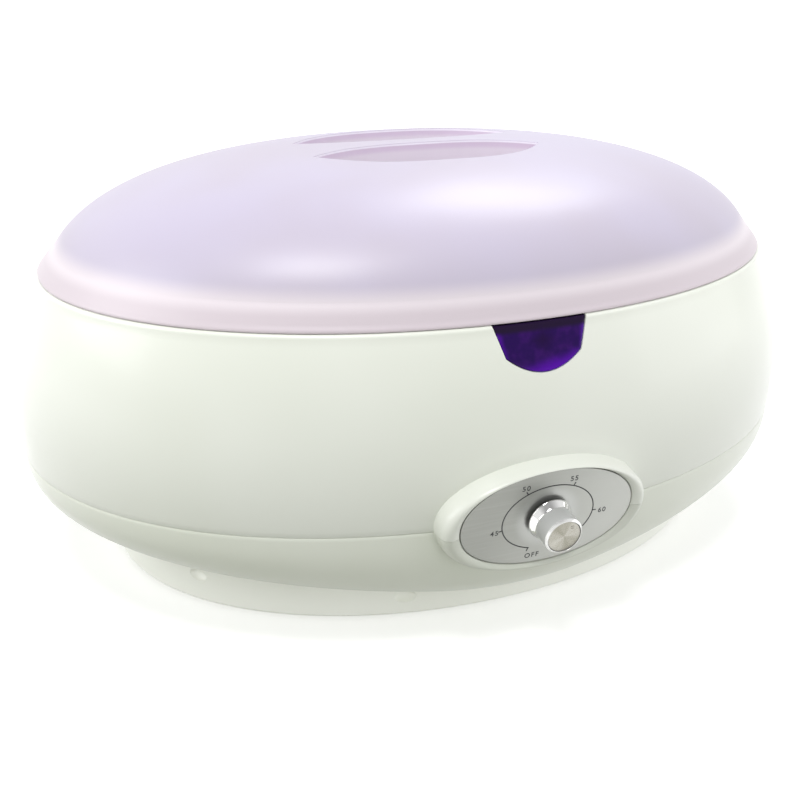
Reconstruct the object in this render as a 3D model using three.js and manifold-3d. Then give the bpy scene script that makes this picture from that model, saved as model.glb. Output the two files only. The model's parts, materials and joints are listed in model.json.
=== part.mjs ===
// Paraffin wax bath: an oval white tub with a lift-off lid, a heated aluminium pot and a dial on the front.
// Sizes are in millimetres. Z points up, the dial faces -Y, and the long side of the oval lies along X.

import * as THREE from "three";
import { mergeVertices } from "three/addons/utils/BufferGeometryUtils.js";
import Module from "manifold-3d";

const wasm = await Module();
wasm.setup();

// Shared clearances and steps
const gap = 0.3;
const overrun = 4;
const shellSteps = 48;
const innerSteps = 36;
const roundSides = 12;
const screwSides = 8;

// Plan of the tub: an oval slightly blunter than an ellipse
const planBluntness = 2.07;

// White body: the oval where its two halves part, and how far the body draws in from there on the way up
const partingHeight = 60.2;
const partingHalfLength = 196.9;
const partingHalfWidth = 143.9;
const middleDrawAlong = 3;
const middleDrawAcross = 1.5;
const middleHalfLength = partingHalfLength - middleDrawAlong;
const middleHalfWidth = partingHalfWidth - middleDrawAcross;
const rimHeight = 140.2;
const rimDrawAlong = 16;
const rimDrawAcross = 13.7;
const rimHalfLength = partingHalfLength - rimDrawAlong;
const rimHalfWidth = partingHalfWidth - rimDrawAcross;
const housingWall = 2.8;
const shoulderRound = 1.6;
const sideLevels = 5;

// Mouth of the upper housing, with the ledge that carries the pot
const mouthInset = 7.6;
const ledgeInset = 17.6;
const ledgeHeight = 132.2;
const ledgeThickness = 2.5;

// Base: a bowl that turns under ever more sharply, standing on a flared plinth that rises into it
const underHeight = 19.2;
const underDrawAlong = 76.9;
const underDrawAcross = 13.9;
const underHalfLength = partingHalfLength - underDrawAlong;
const underHalfWidth = partingHalfWidth - underDrawAcross;
const underFullness = 3;
const underLevels = 8;
const plinthDrawAlong = 37.7;
const plinthDrawAcross = 28.5;
const plinthHalfLength = partingHalfLength - plinthDrawAlong;
const plinthHalfWidth = partingHalfWidth - plinthDrawAcross;
const plinthTop = 31;
const plinthFlare = 2;
const plinthNeckHeight = 14;
const plinthNeckLength = plinthHalfLength - plinthFlare;
const plinthNeckWidth = plinthHalfWidth - plinthFlare;
const plinthLift = 1;
const plinthRingWidth = 7;
const floorHeight = 4;
const floorThickness = 2.5;
const tongueHeight = 3.5;
const tongueWall = 1.4;

// Scoops pressed into the plinth's side
const scoopRadius = 7;
const scoopDepth = 1.8;
const scoopSides = 14;
const scoopHeight = 8.5;
const scoopTurns = [223.5, 248.3];
const scoopFlatness = 0.55;

// Lid: a shallow dome on a flared edge
const domeFootHeight = 118.6;
const domeTop = 190;
const domeFullness = 2.72;
const lidInset = 0.9;
const lidHalfLength = rimHalfLength - lidInset;
const lidHalfWidth = rimHalfWidth - lidInset;
const lidWall = 2.2;
const lidEdgeHeight = 141.8;
const lidEdgeThickness = 1.8;
const lidEdgeProud = 0.4;
const lidStripInset = 1.4;
const lidLipDepth = 3;
const lidLipWall = 2.2;
const domeLevels = 9;
const domeSkinLevels = 6;

// Finger recesses either side of the grip bar
const gripHalfLength = 57;
const gripBarHalfWidth = 5.5;
const gripTipHalfWidth = 18;
const gripReach = 44;
const gripDepth = 15;
const gripWall = 2;
const gripDraft = 5;
const gripSteps = 12;

// Window for the pilot lights
const windowTopHalfWidth = 20.6;
const windowLowHalfWidth = 16.6;
const windowLowHeight = 127.6;
const windowBottomHeight = 119.6;
const windowSteps = 8;
const windowReach = 12;
const windowPrismDepth = 36;

// Dial on the front: its plane leans down and is shared by the plate, bezel, knob and potentiometer
const dialProud = 5.1;
const dialForward = partingHalfWidth + dialProud;
const dialHeight = 62.4;
const dialLean = THREE.MathUtils.degToRad(7.3);
const dialSteps = 32;
const plateHalfLength = 39;
const plateHalfWidth = 22.5;
const plateThickness = 1.2;
const plateHole = 6.5;
const plateClearance = 0.4;
const bezelFloorThickness = 2.4;
const bezelRidge = 1.2;
const bezelWidth = 8.7;
const bezelDrop = 3;
const bezelSpread = 4;
const bezelRise = 2.1;
const bezelRootDepth = 9;
const bezelBack = 24;
const bezelHollowDepth = 16;
const bezelWall = 3.2;

// Potentiometer and knob, measured out from the face of the dial plate
const shaftRadius = 3;
const bushingRadius = 3.9;
const bushingProud = 1.7;
const potentiometerRadius = 8.5;
const potentiometerDepth = 10;
const shaftDepth = 5;
const nutRadius = 6.1;
const nutThickness = 2.4;
const knobRadius = 8.3;
const knobReach = 13.9;
const knobFoot = 0.6;
const knobFootThickness = 0.8;
const knobSkirtRadius = 9.8;
const knobSkirtHeight = 2.6;
const knobWall = 0.6;
const knobChamfer = 0.8;
const knobFaceRadius = 7.2;
const knobFaceThickness = 0.8;
const knobHollowRadius = 6.5;
const knobSides = 28;
const pointerTurn = THREE.MathUtils.degToRad(52);
const pointerPlace = 5;
const pointerRadius = 0.9;
const pointerDepth = 0.35;

// Inner pot
const potFlangeInset = 8.4;
const potFlangeThickness = 1.5;
const potTopInset = 23.5;
const potWall = 1.5;
const potFloorHeight = 56.5;
const potFootInset = 41;
const potCorner = 15;
const potCornerLevels = 4;
const sealThickness = 1.8;
const sealOuterInset = 8.6;
const sealInnerInset = 16.4;
const studPlace = 60;
const studRadius = 2;
const studLength = 7.2;

// Finger grille that lies in the pot
const grilleInset = 48.5;
const grilleThickness = 2.6;
const grilleLift = 5;
const grilleFootRadius = 3;
const grilleFootShares = [2.5, 1.5];
const slotColumns = 7;
const slotRows = 5;
const slotPitchAlong = 30;
const slotPitchAcross = 23;
const slotHalfLength = 10;
const slotHalfWidth = 4.5;
const slotSides = 4;

// Heater under the pot
const potFootHalfLength = rimHalfLength - potFootInset;
const potFootHalfWidth = rimHalfWidth - potFootInset;
const heaterAlongShare = 0.8;
const heaterAcrossShare = 0.72;
const heaterHalfLength = potFootHalfLength * heaterAlongShare;
const heaterHalfWidth = potFootHalfWidth * heaterAcrossShare;
const heaterThickness = 1.2;
const clampAlongShare = 0.69;
const clampAcrossShare = 0.56;
const clampHalfLength = potFootHalfLength * clampAlongShare;
const clampHalfWidth = potFootHalfWidth * clampAcrossShare;
const clampThickness = 1.5;
const studHole = 2.5;
const clampNutRadius = 4;
const clampNutThickness = 2.7;

// Heat shield tray on its posts
const shieldAlongShare = 0.9;
const shieldAcrossShare = 0.83;
const shieldHalfLength = potFootHalfLength * shieldAlongShare;
const shieldHalfWidth = potFootHalfWidth * shieldAcrossShare;
const shieldHeight = 43.6;
const shieldThickness = 0.8;
const shieldRim = 6;
const shieldFlare = 3;
const shieldPostAlongShare = 0.75;
const shieldPostAcrossShare = 0.5;
const shieldPostAlong = shieldHalfLength * shieldPostAlongShare;
const shieldPostAcross = shieldHalfWidth * shieldPostAcrossShare;
const postRadius = 4;
const pilotRadius = 1.5;
const pilotDepth = 9;

// Sensor and thermal fuse under the clamp plate
const sensorRadius = 1.8;
const sensorLength = 12;
const sensorPlace = 25;
const clipWall = 0.7;
const clipWidth = 5;
const clipFoot = 4;

// Screws
const screwRadius = 1.2;
const screwHeadRadius = 2.6;
const screwHeadHeight = 1.8;
const screwLength = 8;
const screwHole = 1.7;

// Long screws that hold the two housings together, in wells under the base
const wellAlongShare = 0.716;
const wellAcrossShare = 0.459;
const wellAlong = partingHalfLength * wellAlongShare;
const wellAcross = partingHalfWidth * wellAcrossShare;
const wellRadius = 4.4;
const wellWall = 1.8;
const wellRoof = 40;
const wellRoofThickness = 4;
const housingPostRadius = 4.6;
const longScrewLength = 16;
const longScrewHeadRadius = 3.7;
const longScrewHeadHeight = 2.6;

// Feet
const footAlongShare = 0.653;
const footAcrossShare = 0.52;
const footAlong = plinthHalfLength * footAlongShare;
const footAcross = plinthHalfWidth * footAcrossShare;
const footRadius = 8;
const footPocketDepth = 1.2;
const footThickness = floorHeight + footPocketDepth - gap;
const footSides = 16;

// Control board on the floor
const boardThickness = 1.6;
const boardHeight = 12.8;
const boardCentreAlong = -46;
const boardHalfLength = 38;
const boardHalfWidth = 28;
const boardHoleInset = 4.5;
const boardPostRadius = 3.2;
const boardScrewLength = 6;
const relaySize = { length: 19, width: 15.5, height: 15.4 };
const relayPlace = { along: -64, across: 10 };
const filmSize = { length: 18, width: 8, height: 14 };
const filmPlace = { along: -62, across: -12 };
const canRadius = 5;
const canHeight = 15;
const canPlace = { along: -40, across: -13 };
const fuseRadius = 2.6;
const fuseCapRadius = 3.2;
const fuseHalfLength = 10;
const fuseCapLength = 4;
const fusePlace = { along: -32, across: 14 };
const connectorSize = { length: 9, width: 24, height: 9 };
const connectorPlace = { along: -17, across: -8 };

// Board with the two pilot lights
const lightBoardHalfLength = 31;
const lightBoardLow = 117;
const lightBoardHigh = 128.6;
const lightBoardInset = 9.2;
const lightBoardDepth = rimHalfWidth - lightBoardInset;
const lightPostPlace = 26.5;
const lightPostHeight = 122.6;
const lightPostRadius = 2.8;
const lampPlace = 8;
const lampRadius = 2.5;
const lampLength = 7.4;
const lampFlange = 2.9;
const lampFlangeThickness = 1;
const lampSides = 12;
const lightScrewLength = 6;

// Mains entry at the back
const glandHeight = 34;
const glandPadInset = 2.7;
const glandPadFace = partingHalfWidth - glandPadInset;
const glandPadRadius = 11;
const glandPadDepth = 14;
const glandHole = 6.9;
const glandRadius = 6.5;
const glandFlangeRadius = 9.4;
const glandFlangeThickness = 2.4;
const glandBore = 3.6;
const glandBackLength = 13;
const glandLockRadius = 9;
const glandLockThickness = 3;
const terminalSize = { length: 30, width: 16, height: 12 };
const terminalPlace = { along: 34, across: 62 };
const terminalChannels = 3;
const terminalChannelRadius = 2;
const clampBarSize = { length: 30, width: 8, height: 4 };
const clampBarPlace = 88;
const clampPostPlace = 11;
const clampPostHeight = 14;

// Inner wires, each by the places it passes on its way from the board's connector
const wireRadius = 1.1;
const wireSides = 6;
const wireStep = 8;
const wirePorts = 5;
const wirePitch = 5;
const leadWays = {
  dial: [[-3, -30, 19], [-1, -60, 20], [-1, -98, 30], [-1, -120, 50], [0, -127, 63]],
  light: [[1, -20, 19], [8, -50, 20], [12, -104, 32], [12, -126, 60], [12, -124, 90], [12, -121, 108]],
  heater: [[6, -13, 19], [18, -50, 21], [22, -96, 36], [21, -93, 49], [20, -79, 54.6]],
  mains: [[0, -3, 19], [12, 6, 18], [23, 36, 13]],
  sensor: [[0, 8, 19], [6, 40, 19], [20, 80, 24], [30, 90, 42], [30, 79, 53.2], [28, 58, 50.6], [17, 29, 50]],
};

// Materials
const finishes = {
  lid: { color: 0xdccbe2, roughness: 0.45, metalness: 0, transparent: true, opacity: 0.7 },
  shell: { color: 0xf1f3ec, roughness: 0.35, metalness: 0 },
  window: { color: 0x3a0a78, roughness: 0.15, metalness: 0 },
  plate: { color: 0xb9bcba, roughness: 0.4, metalness: 0.9 },
  polished: { color: 0xd8d8d8, roughness: 0.15, metalness: 1 },
  spun: { color: 0xcfc8ba, roughness: 0.35, metalness: 0.9 },
  black: { color: 0x141416, roughness: 0.5, metalness: 0 },
  rubber: { color: 0x2b2b2d, roughness: 0.85, metalness: 0 },
  silicone: { color: 0xd9d9d4, roughness: 0.7, metalness: 0 },
  aluminium: { color: 0xc2c5c8, roughness: 0.45, metalness: 0.9 },
  steel: { color: 0xaeb2b5, roughness: 0.4, metalness: 1 },
  grille: { color: 0xe8ebe6, roughness: 0.5, metalness: 0 },
  heater: { color: 0xa8482e, roughness: 0.7, metalness: 0 },
  board: { color: 0x1f6b3a, roughness: 0.55, metalness: 0 },
  component: { color: 0x27467e, roughness: 0.5, metalness: 0 },
  red: { color: 0xc21a1a, roughness: 0.2, metalness: 0 },
  green: { color: 0x1fae3c, roughness: 0.2, metalness: 0 },
  wire: { color: 0xa32222, roughness: 0.6, metalness: 0 },
};

// Closed triangles of a three.js geometry, as a solid that can be joined and cut
function solidOf(geometry) {
  const bare = new THREE.BufferGeometry();
  bare.setAttribute("position", geometry.getAttribute("position"));
  bare.setIndex(geometry.getIndex());
  const merged = mergeVertices(bare);
  const corners = merged.getIndex().array;
  const kept = [];
  for (let i = 0; i < corners.length; i += 3) {
    const [a, b, c] = [corners[i], corners[i + 1], corners[i + 2]];
    if (a !== b && b !== c && c !== a) kept.push(a, b, c);
  }
  const vertProperties = new Float32Array(merged.getAttribute("position").array);
  return new wasm.Manifold(new wasm.Mesh({ numProp: 3, vertProperties, triVerts: new Uint32Array(kept) }));
}

function geometryOf(solid) {
  const { vertProperties, triVerts } = solid.getMesh();
  const geometry = new THREE.BufferGeometry();
  geometry.setAttribute("position", new THREE.BufferAttribute(new Float32Array(vertProperties), 3));
  geometry.setIndex(new THREE.BufferAttribute(new Uint32Array(triVerts), 1));
  geometry.computeVertexNormals();
  return geometry;
}

function piece(name, solid, finish) {
  const mesh = new THREE.Mesh(geometryOf(solid), new THREE.MeshStandardMaterial(finish));
  mesh.name = name;
  return mesh;
}

const joined = (first, ...rest) => rest.reduce((whole, part) => whole.add(part), first);
const cut = (whole, ...tools) => tools.reduce((left, tool) => left.subtract(tool), whole);

function ovalPoint(angle, halfLength, halfWidth) {
  const power = 2 / planBluntness;
  const along = Math.cos(angle);
  const across = Math.sin(angle);
  return {
    x: halfLength * Math.sign(along) * Math.abs(along) ** power,
    y: halfWidth * Math.sign(across) * Math.abs(across) ** power,
  };
}

// A profile spun as on a lathe, with each ring then drawn out to the oval of its own level and shifted by its rise.
// Levels go up the outside and down the inside.
function ovalTurned(levels, steps) {
  const profile = levels.map((level) => new THREE.Vector2(level.length, level.height));
  const spun = new THREE.LatheGeometry(profile, steps);
  const position = spun.getAttribute("position");
  for (let i = 0; i < position.count; i += 1) {
    const level = levels[i % levels.length];
    const angle = (Math.floor(i / levels.length) % steps) / steps * 2 * Math.PI;
    const { x, y } = ovalPoint(angle, level.length, level.width);
    position.setXYZ(i, x, y + level.rise, level.height);
  }
  return solidOf(spun);
}

const level = (length, width, height, rise = 0) => ({ length, width, height, rise });
const axisAt = (height) => level(0, 0, height);

// A straight-sided oval block
function ovalBlock(length, width, low, high, steps) {
  return ovalTurned([axisAt(low), level(length, width, low), level(length, width, high), axisAt(high)], steps);
}

// A round turned piece, its axis along Z
function turned(profile, sides) {
  const spun = new THREE.LatheGeometry(profile.map(([radius, height]) => new THREE.Vector2(radius, height)), sides);
  spun.rotateX(Math.PI / 2);
  return solidOf(spun);
}

function rod(radius, low, high, sides) {
  return turned([[0, low], [radius, low], [radius, high], [0, high]], sides);
}

function block(size, centre) {
  const box = new THREE.BoxGeometry(size.length, size.width, size.height);
  box.translate(centre.x, centre.y, centre.z);
  return solidOf(box);
}

const moved = (solid, x, y, z) => solid.translate([x, y, z]);

// Half spaces above and below the parting line, wide enough for the whole tub
function halfSpace(above) {
  const reach = 2 * partingHalfLength;
  const side = above ? 1 : -1;
  const face = partingHeight + side * gap / 2;
  return block({ length: 2 * reach, width: 2 * reach, height: reach }, new THREE.Vector3(0, 0, face + side * reach / 2));
}

// Quadratic through three sizes, at shares 0, 1/2 and 1
const through = (low, middle, high, share) =>
  low * (1 - share) * (1 - 2 * share) + middle * 4 * share * (1 - share) + high * share * (2 * share - 1);

// Side of the upper housing at a share of its height, drawn in by an inset
function sideLevel(share, inset) {
  return level(
    through(partingHalfLength, middleHalfLength, rimHalfLength, share) - inset,
    through(partingHalfWidth, middleHalfWidth, rimHalfWidth, share) - inset,
    partingHeight + share * (rimHeight - partingHeight),
  );
}

const shareAt = (height) => (height - partingHeight) / (rimHeight - partingHeight);
const steps = (count) => Array.from({ length: count + 1 }, (_, i) => i / count);

// Upper housing's outer form, filled in to the axis
function housingForm(inset) {
  const top = shareAt(rimHeight - shoulderRound);
  const sides = steps(sideLevels).map((share) => sideLevel(share * top, inset));
  const last = sides[sides.length - 1];
  const softened = level(last.length - shoulderRound / 3, last.width - shoulderRound / 3, rimHeight - shoulderRound / 3);
  const rim = level(last.length - shoulderRound, last.width - shoulderRound, rimHeight);
  return ovalTurned([axisAt(partingHeight), ...sides, softened, rim, axisAt(rimHeight)], shellSteps);
}

// Inside of the upper housing: the room round the pot, the ledge's opening and the mouth
function housingCavity() {
  const under = ledgeHeight - ledgeThickness;
  const sides = steps(sideLevels - 2).map((share) => sideLevel(share * shareAt(under), housingWall));
  const start = level(sides[0].length, sides[0].width, partingHeight - overrun);
  return ovalTurned([
    axisAt(partingHeight - overrun),
    start,
    ...sides,
    level(rimHalfLength - ledgeInset, rimHalfWidth - ledgeInset, under),
    level(rimHalfLength - ledgeInset, rimHalfWidth - ledgeInset, ledgeHeight),
    level(rimHalfLength - mouthInset, rimHalfWidth - mouthInset, ledgeHeight),
    level(rimHalfLength - mouthInset, rimHalfWidth - mouthInset, rimHeight + overrun),
    axisAt(rimHeight + overrun),
  ], shellSteps);
}

// Curve by which the base turns under from the parting line, drawn in by an inset
function underLevel(share, inset) {
  const reach = 1 - share ** underFullness;
  return level(
    underHalfLength + (partingHalfLength - underHalfLength) * reach - inset,
    underHalfWidth + (partingHalfWidth - underHalfWidth) * reach - inset,
    partingHeight + share * (underHeight + inset - partingHeight),
  );
}

// Bowl from its flat underside up to a height a little over the parting line
function bowl(inset, rise) {
  const turn = steps(underLevels).map((share) => underLevel(1 - share, inset));
  const top = turn[turn.length - 1];
  const lip = rise > 0 ? [level(top.length, top.width, partingHeight + rise)] : [];
  return ovalTurned([axisAt(underHeight + inset), ...turn, ...lip, axisAt(partingHeight + rise)], shellSteps);
}

function plinth() {
  const ring = level(plinthHalfLength - plinthRingWidth, plinthHalfWidth - plinthRingWidth, plinthLift);
  return ovalTurned([
    axisAt(floorHeight),
    level(ring.length, ring.width, floorHeight),
    ring,
    level(plinthHalfLength - plinthLift, plinthHalfWidth - plinthLift, plinthLift),
    level(plinthHalfLength, plinthHalfWidth, 2 * plinthLift),
    level(plinthNeckLength + plinthFlare / 4, plinthNeckWidth + plinthFlare / 4, plinthNeckHeight / 2),
    level(plinthNeckLength, plinthNeckWidth, plinthNeckHeight),
    level(plinthNeckLength, plinthNeckWidth, plinthTop),
    axisAt(plinthTop),
  ], shellSteps);
}

const baseForm = () => joined(bowl(0, 0), plinth());

// Room inside the base: inside the plinth, and inside the bowl
function baseCavity() {
  const floor = floorHeight + floorThickness;
  const corner = plinthHalfLength - plinthRingWidth / 2 - housingWall;
  const cornerWidth = plinthHalfWidth - plinthRingWidth / 2 - housingWall;
  const low = ovalTurned([
    axisAt(floor),
    level(corner - floorThickness, cornerWidth - floorThickness, floor),
    level(corner, cornerWidth, floor + floorThickness),
    level(corner, cornerWidth, plinthTop),
    axisAt(plinthTop),
  ], shellSteps);
  return joined(low, bowl(housingWall, overrun));
}

// Tongue that stands up from the base inside the upper housing's wall
function tongue() {
  const outer = level(partingHalfLength - housingWall - gap, partingHalfWidth - housingWall - gap, partingHeight);
  const low = partingHeight - tongueHeight;
  const high = partingHeight + tongueHeight;
  const foot = outer.length + housingWall / 2;
  const footWidth = outer.width + housingWall / 2;
  return ovalTurned([
    level(outer.length - tongueWall, outer.width - tongueWall, low),
    level(foot, footWidth, low),
    level(foot, footWidth, partingHeight - gap),
    level(outer.length, outer.width, partingHeight - gap),
    level(outer.length, outer.width, high),
    level(outer.length - tongueWall, outer.width - tongueWall, high),
    level(outer.length - tongueWall, outer.width - tongueWall, low),
  ], shellSteps);
}

// Dial frame: its +Z leaves the face of the plate, its +Y points up the plate
const dialPlace = new THREE.Matrix4().compose(
  new THREE.Vector3(0, -dialForward, dialHeight),
  new THREE.Quaternion().setFromEuler(new THREE.Euler(Math.PI / 2 + dialLean, 0, 0)),
  new THREE.Vector3(1, 1, 1),
);

function inDialFrame(solid) {
  const geometry = geometryOf(solid);
  geometry.applyMatrix4(dialPlace);
  return solidOf(geometry);
}

// Raised bezel round the dial, with the seat of the plate sunk into it
function bezelForm() {
  const seatLength = plateHalfLength + plateClearance;
  const seatWidth = plateHalfWidth + plateClearance;
  const seat = -plateThickness - gap;
  const at = (reach, spread, depth) =>
    level(seatLength + reach, seatWidth + reach + spread, depth, bezelRise * reach / bezelWidth);
  return ovalTurned([
    level(0, 0, -bezelBack, bezelRise),
    at(bezelWidth + bezelSpread, 0, -bezelBack),
    at(bezelWidth + bezelSpread, 0, -bezelRootDepth - bezelDrop),
    at(bezelWidth + bezelSpread / 3, -bezelSpread / 2, -bezelRootDepth + bezelDrop),
    at(bezelWidth, -bezelSpread, -bezelDrop),
    at(bezelWidth - bezelRidge, -bezelSpread, -bezelRidge / 2),
    at(bezelWidth / 2 + bezelRidge / 2, -bezelSpread / 2, bezelRidge * 5 / 6),
    at(bezelWidth / 3, -bezelSpread / 4, bezelRidge),
    at(bezelRidge / 2, 0, bezelRidge * 2 / 3),
    at(0, 0, 0),
    at(0, 0, seat),
    axisAt(seat),
  ], dialSteps);
}

function bezelHollow() {
  const length = plateHalfLength + plateClearance + bezelWidth - bezelWall;
  const width = plateHalfWidth + plateClearance + bezelWidth - bezelSpread - bezelWall;
  const roof = -plateThickness - gap - bezelFloorThickness;
  return ovalTurned([
    level(0, 0, -bezelHollowDepth, bezelRise),
    level(length, width, -bezelHollowDepth, bezelRise),
    level(length, width, roof - bezelWall, bezelRise),
    level(length - bezelWall, width - bezelWall, roof, bezelRise),
    level(0, 0, roof, bezelRise),
  ], dialSteps);
}

const bushingHole = () => rod(bushingRadius + gap, -bezelBack, bezelBack, roundSides);

// Shield outline of the window: straight sides that taper, and a foot that bows down from its two corners
function windowPrism(grow, rise) {
  const outline = new THREE.Shape();
  const top = rimHeight - gap;
  const wide = windowTopHalfWidth + grow;
  outline.moveTo(-wide, top + rise);
  if (rise > 0) outline.lineTo(-wide, top);
  outline.lineTo(-windowLowHalfWidth - grow, windowLowHeight);
  for (const share of steps(windowSteps).slice(1)) {
    const along = 2 * share - 1;
    const drop = (windowLowHeight - windowBottomHeight + grow) * (1 - along * along);
    outline.lineTo((windowLowHalfWidth + grow) * along, windowLowHeight - drop);
  }
  outline.lineTo(wide, top);
  if (rise > 0) outline.lineTo(wide, top + rise);
  const prism = new THREE.ExtrudeGeometry(outline, { depth: windowPrismDepth, bevelEnabled: false });
  prism.rotateX(Math.PI / 2);
  prism.translate(0, -rimHalfWidth + windowReach, 0);
  return solidOf(prism);
}

function windowLens() {
  const skin = windowPrism(0, 0).intersect(housingForm(0));
  return cut(skin, housingForm(housingWall));
}

const windowCut = () => cut(windowPrism(gap, overrun), housingForm(housingWall + gap));

function fourCorners(along, across) {
  return [[-along, -across], [along, -across], [-along, across], [along, across]];
}

// Posts inside the upper housing that the long screws bite into
function housingPosts() {
  const top = ledgeHeight - ledgeThickness / 2;
  return fourCorners(wellAlong, wellAcross).map(([x, y]) =>
    moved(rod(housingPostRadius, wellRoof + gap, top, roundSides), x, y, 0));
}

const postPilots = () => fourCorners(wellAlong, wellAcross).map(([x, y]) =>
  moved(rod(pilotRadius, wellRoof, wellRoof + longScrewLength, screwSides), x, y, 0));

// Posts on the front wall that carry the board of the pilot lights
function lightPosts(radius, from, to) {
  return [-lightPostPlace, lightPostPlace].map((x) => {
    const post = rod(radius, from, to, screwSides).rotate([90, 0, 0]);
    return moved(post, x, 0, lightPostHeight);
  });
}

function upperHousing() {
  const bezel = inDialFrame(bezelForm()).intersect(halfSpace(true));
  const form = joined(housingForm(0), bezel).intersect(halfSpace(true));
  const wallFace = middleHalfWidth - housingWall;
  const posts = lightPosts(lightPostRadius, lightBoardDepth + gap, wallFace).map((post) => post.intersect(housingForm(0)));
  const shell = cut(form, housingCavity(), inDialFrame(bezelHollow()), inDialFrame(bushingHole()), windowCut());
  const pilots = lightPosts(pilotRadius, lightBoardDepth, lightBoardDepth + lightScrewLength);
  return cut(joined(shell, ...housingPosts(), ...posts), ...postPilots(), ...pilots);
}

// Scoop pressed into the plinth: a flattened ball set into its side
function scoop(turnDegrees) {
  const ball = new THREE.SphereGeometry(scoopRadius, scoopSides, scoopSides / 2);
  ball.scale(1, 1, scoopFlatness);
  const turn = THREE.MathUtils.degToRad(turnDegrees);
  const { x, y } = ovalPoint(turn, plinthHalfLength, plinthHalfWidth);
  const reach = 1 + (scoopRadius - scoopDepth) / Math.hypot(x, y);
  return moved(solidOf(ball), x * reach, y * reach, scoopHeight);
}

function wellTubes() {
  const outside = baseForm();
  return fourCorners(wellAlong, wellAcross).map(([x, y]) =>
    moved(rod(wellRadius + wellWall, underHeight, wellRoof, roundSides), x, y, 0).intersect(outside));
}

function wellBores() {
  return fourCorners(wellAlong, wellAcross).flatMap(([x, y]) => [
    moved(rod(wellRadius, -overrun, wellRoof - wellRoofThickness, roundSides), x, y, 0),
    moved(rod(screwHole, -overrun, wellRoof + overrun, screwSides), x, y, 0),
  ]);
}

const innerFloor = floorHeight + floorThickness;

function standing(radius, top, x, y) {
  return moved(rod(radius, floorHeight + floorThickness / 2, top, roundSides), x, y, 0);
}

const boardHoles = fourCorners(boardHalfLength - boardHoleInset, boardHalfWidth - boardHoleInset)
  .map(([x, y]) => [x + boardCentreAlong, y]);

function basePosts() {
  const shield = fourCorners(shieldPostAlong, shieldPostAcross).map(([x, y]) => standing(postRadius, shieldHeight - gap, x, y));
  const board = boardHoles.map(([x, y]) => standing(boardPostRadius, boardHeight - gap, x, y));
  const clamp = [-clampPostPlace, clampPostPlace].map((x) => standing(postRadius, clampPostHeight, x, clampBarPlace));
  return [...shield, ...board, ...clamp];
}

function basePilots() {
  const pilot = (top, x, y) => moved(rod(pilotRadius, top - pilotDepth, top + overrun, screwSides), x, y, 0);
  return [
    ...fourCorners(shieldPostAlong, shieldPostAcross).map(([x, y]) => pilot(shieldHeight, x, y)),
    ...boardHoles.map(([x, y]) => moved(rod(pilotRadius, innerFloor, boardHeight, screwSides), x, y, 0)),
    pilot(clampPostHeight, -clampPostPlace, clampBarPlace),
    pilot(clampPostHeight, clampPostPlace, clampBarPlace),
  ];
}

function alongBack(solid) {
  return moved(solid.rotate([-90, 0, 0]), 0, 0, glandHeight);
}

const footPockets = () => fourCorners(footAlong, footAcross).map(([x, y]) =>
  moved(rod(footRadius + gap, -overrun, floorHeight + footPocketDepth, footSides), x, y, 0));

function baseHousing() {
  const bezel = inDialFrame(bezelForm()).intersect(halfSpace(false));
  const pad = alongBack(rod(glandPadRadius, glandPadFace - glandPadDepth, glandPadFace, footSides));
  const form = joined(baseForm().intersect(halfSpace(false)), bezel, pad);
  const room = baseCavity();
  const padBack = cut(pad, room);
  const shell = cut(form, room);
  const inside = [...wellTubes(), ...basePosts(), tongue()];
  const notch = inDialFrame(bezelHollow());
  const whole = cut(joined(shell, padBack, ...inside), notch, inDialFrame(bushingHole()));
  return cut(whole, ...wellBores(), ...basePilots(), ...footPockets(), ...glandCuts(), ...scoopTurns.map(scoop));
}

// Bore for the cord gland, and the round seat its flange lies in
function glandCuts() {
  const bore = rod(glandHole, glandPadFace / 2, glandPadFace + overrun, roundSides);
  const seat = rod(glandFlangeRadius + 2 * gap, glandPadFace, glandPadFace + 2 * overrun, footSides);
  return [alongBack(bore), alongBack(seat)];
}

// Dome of the lid at a share of its height, drawn in by an inset
function domeLevel(share, inset) {
  const reach = (1 - share ** domeFullness) ** (1 / domeFullness);
  const rise = domeTop - domeFootHeight - inset;
  return level((lidHalfLength - inset) * reach, (lidHalfWidth - inset) * reach, domeFootHeight + rise * share);
}

const domeShareAt = (height, inset) => (height - domeFootHeight) / (domeTop - domeFootHeight - inset);

// Shares of the dome's height that crowd together towards its flat top
function domeShares(count, low) {
  return steps(count).map((share) => low + (1 - low) * Math.sin(share * Math.PI / 2));
}

function domeOutside(low) {
  return domeShares(domeLevels, low).slice(0, -1).map((share) => domeLevel(share, 0));
}

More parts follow.
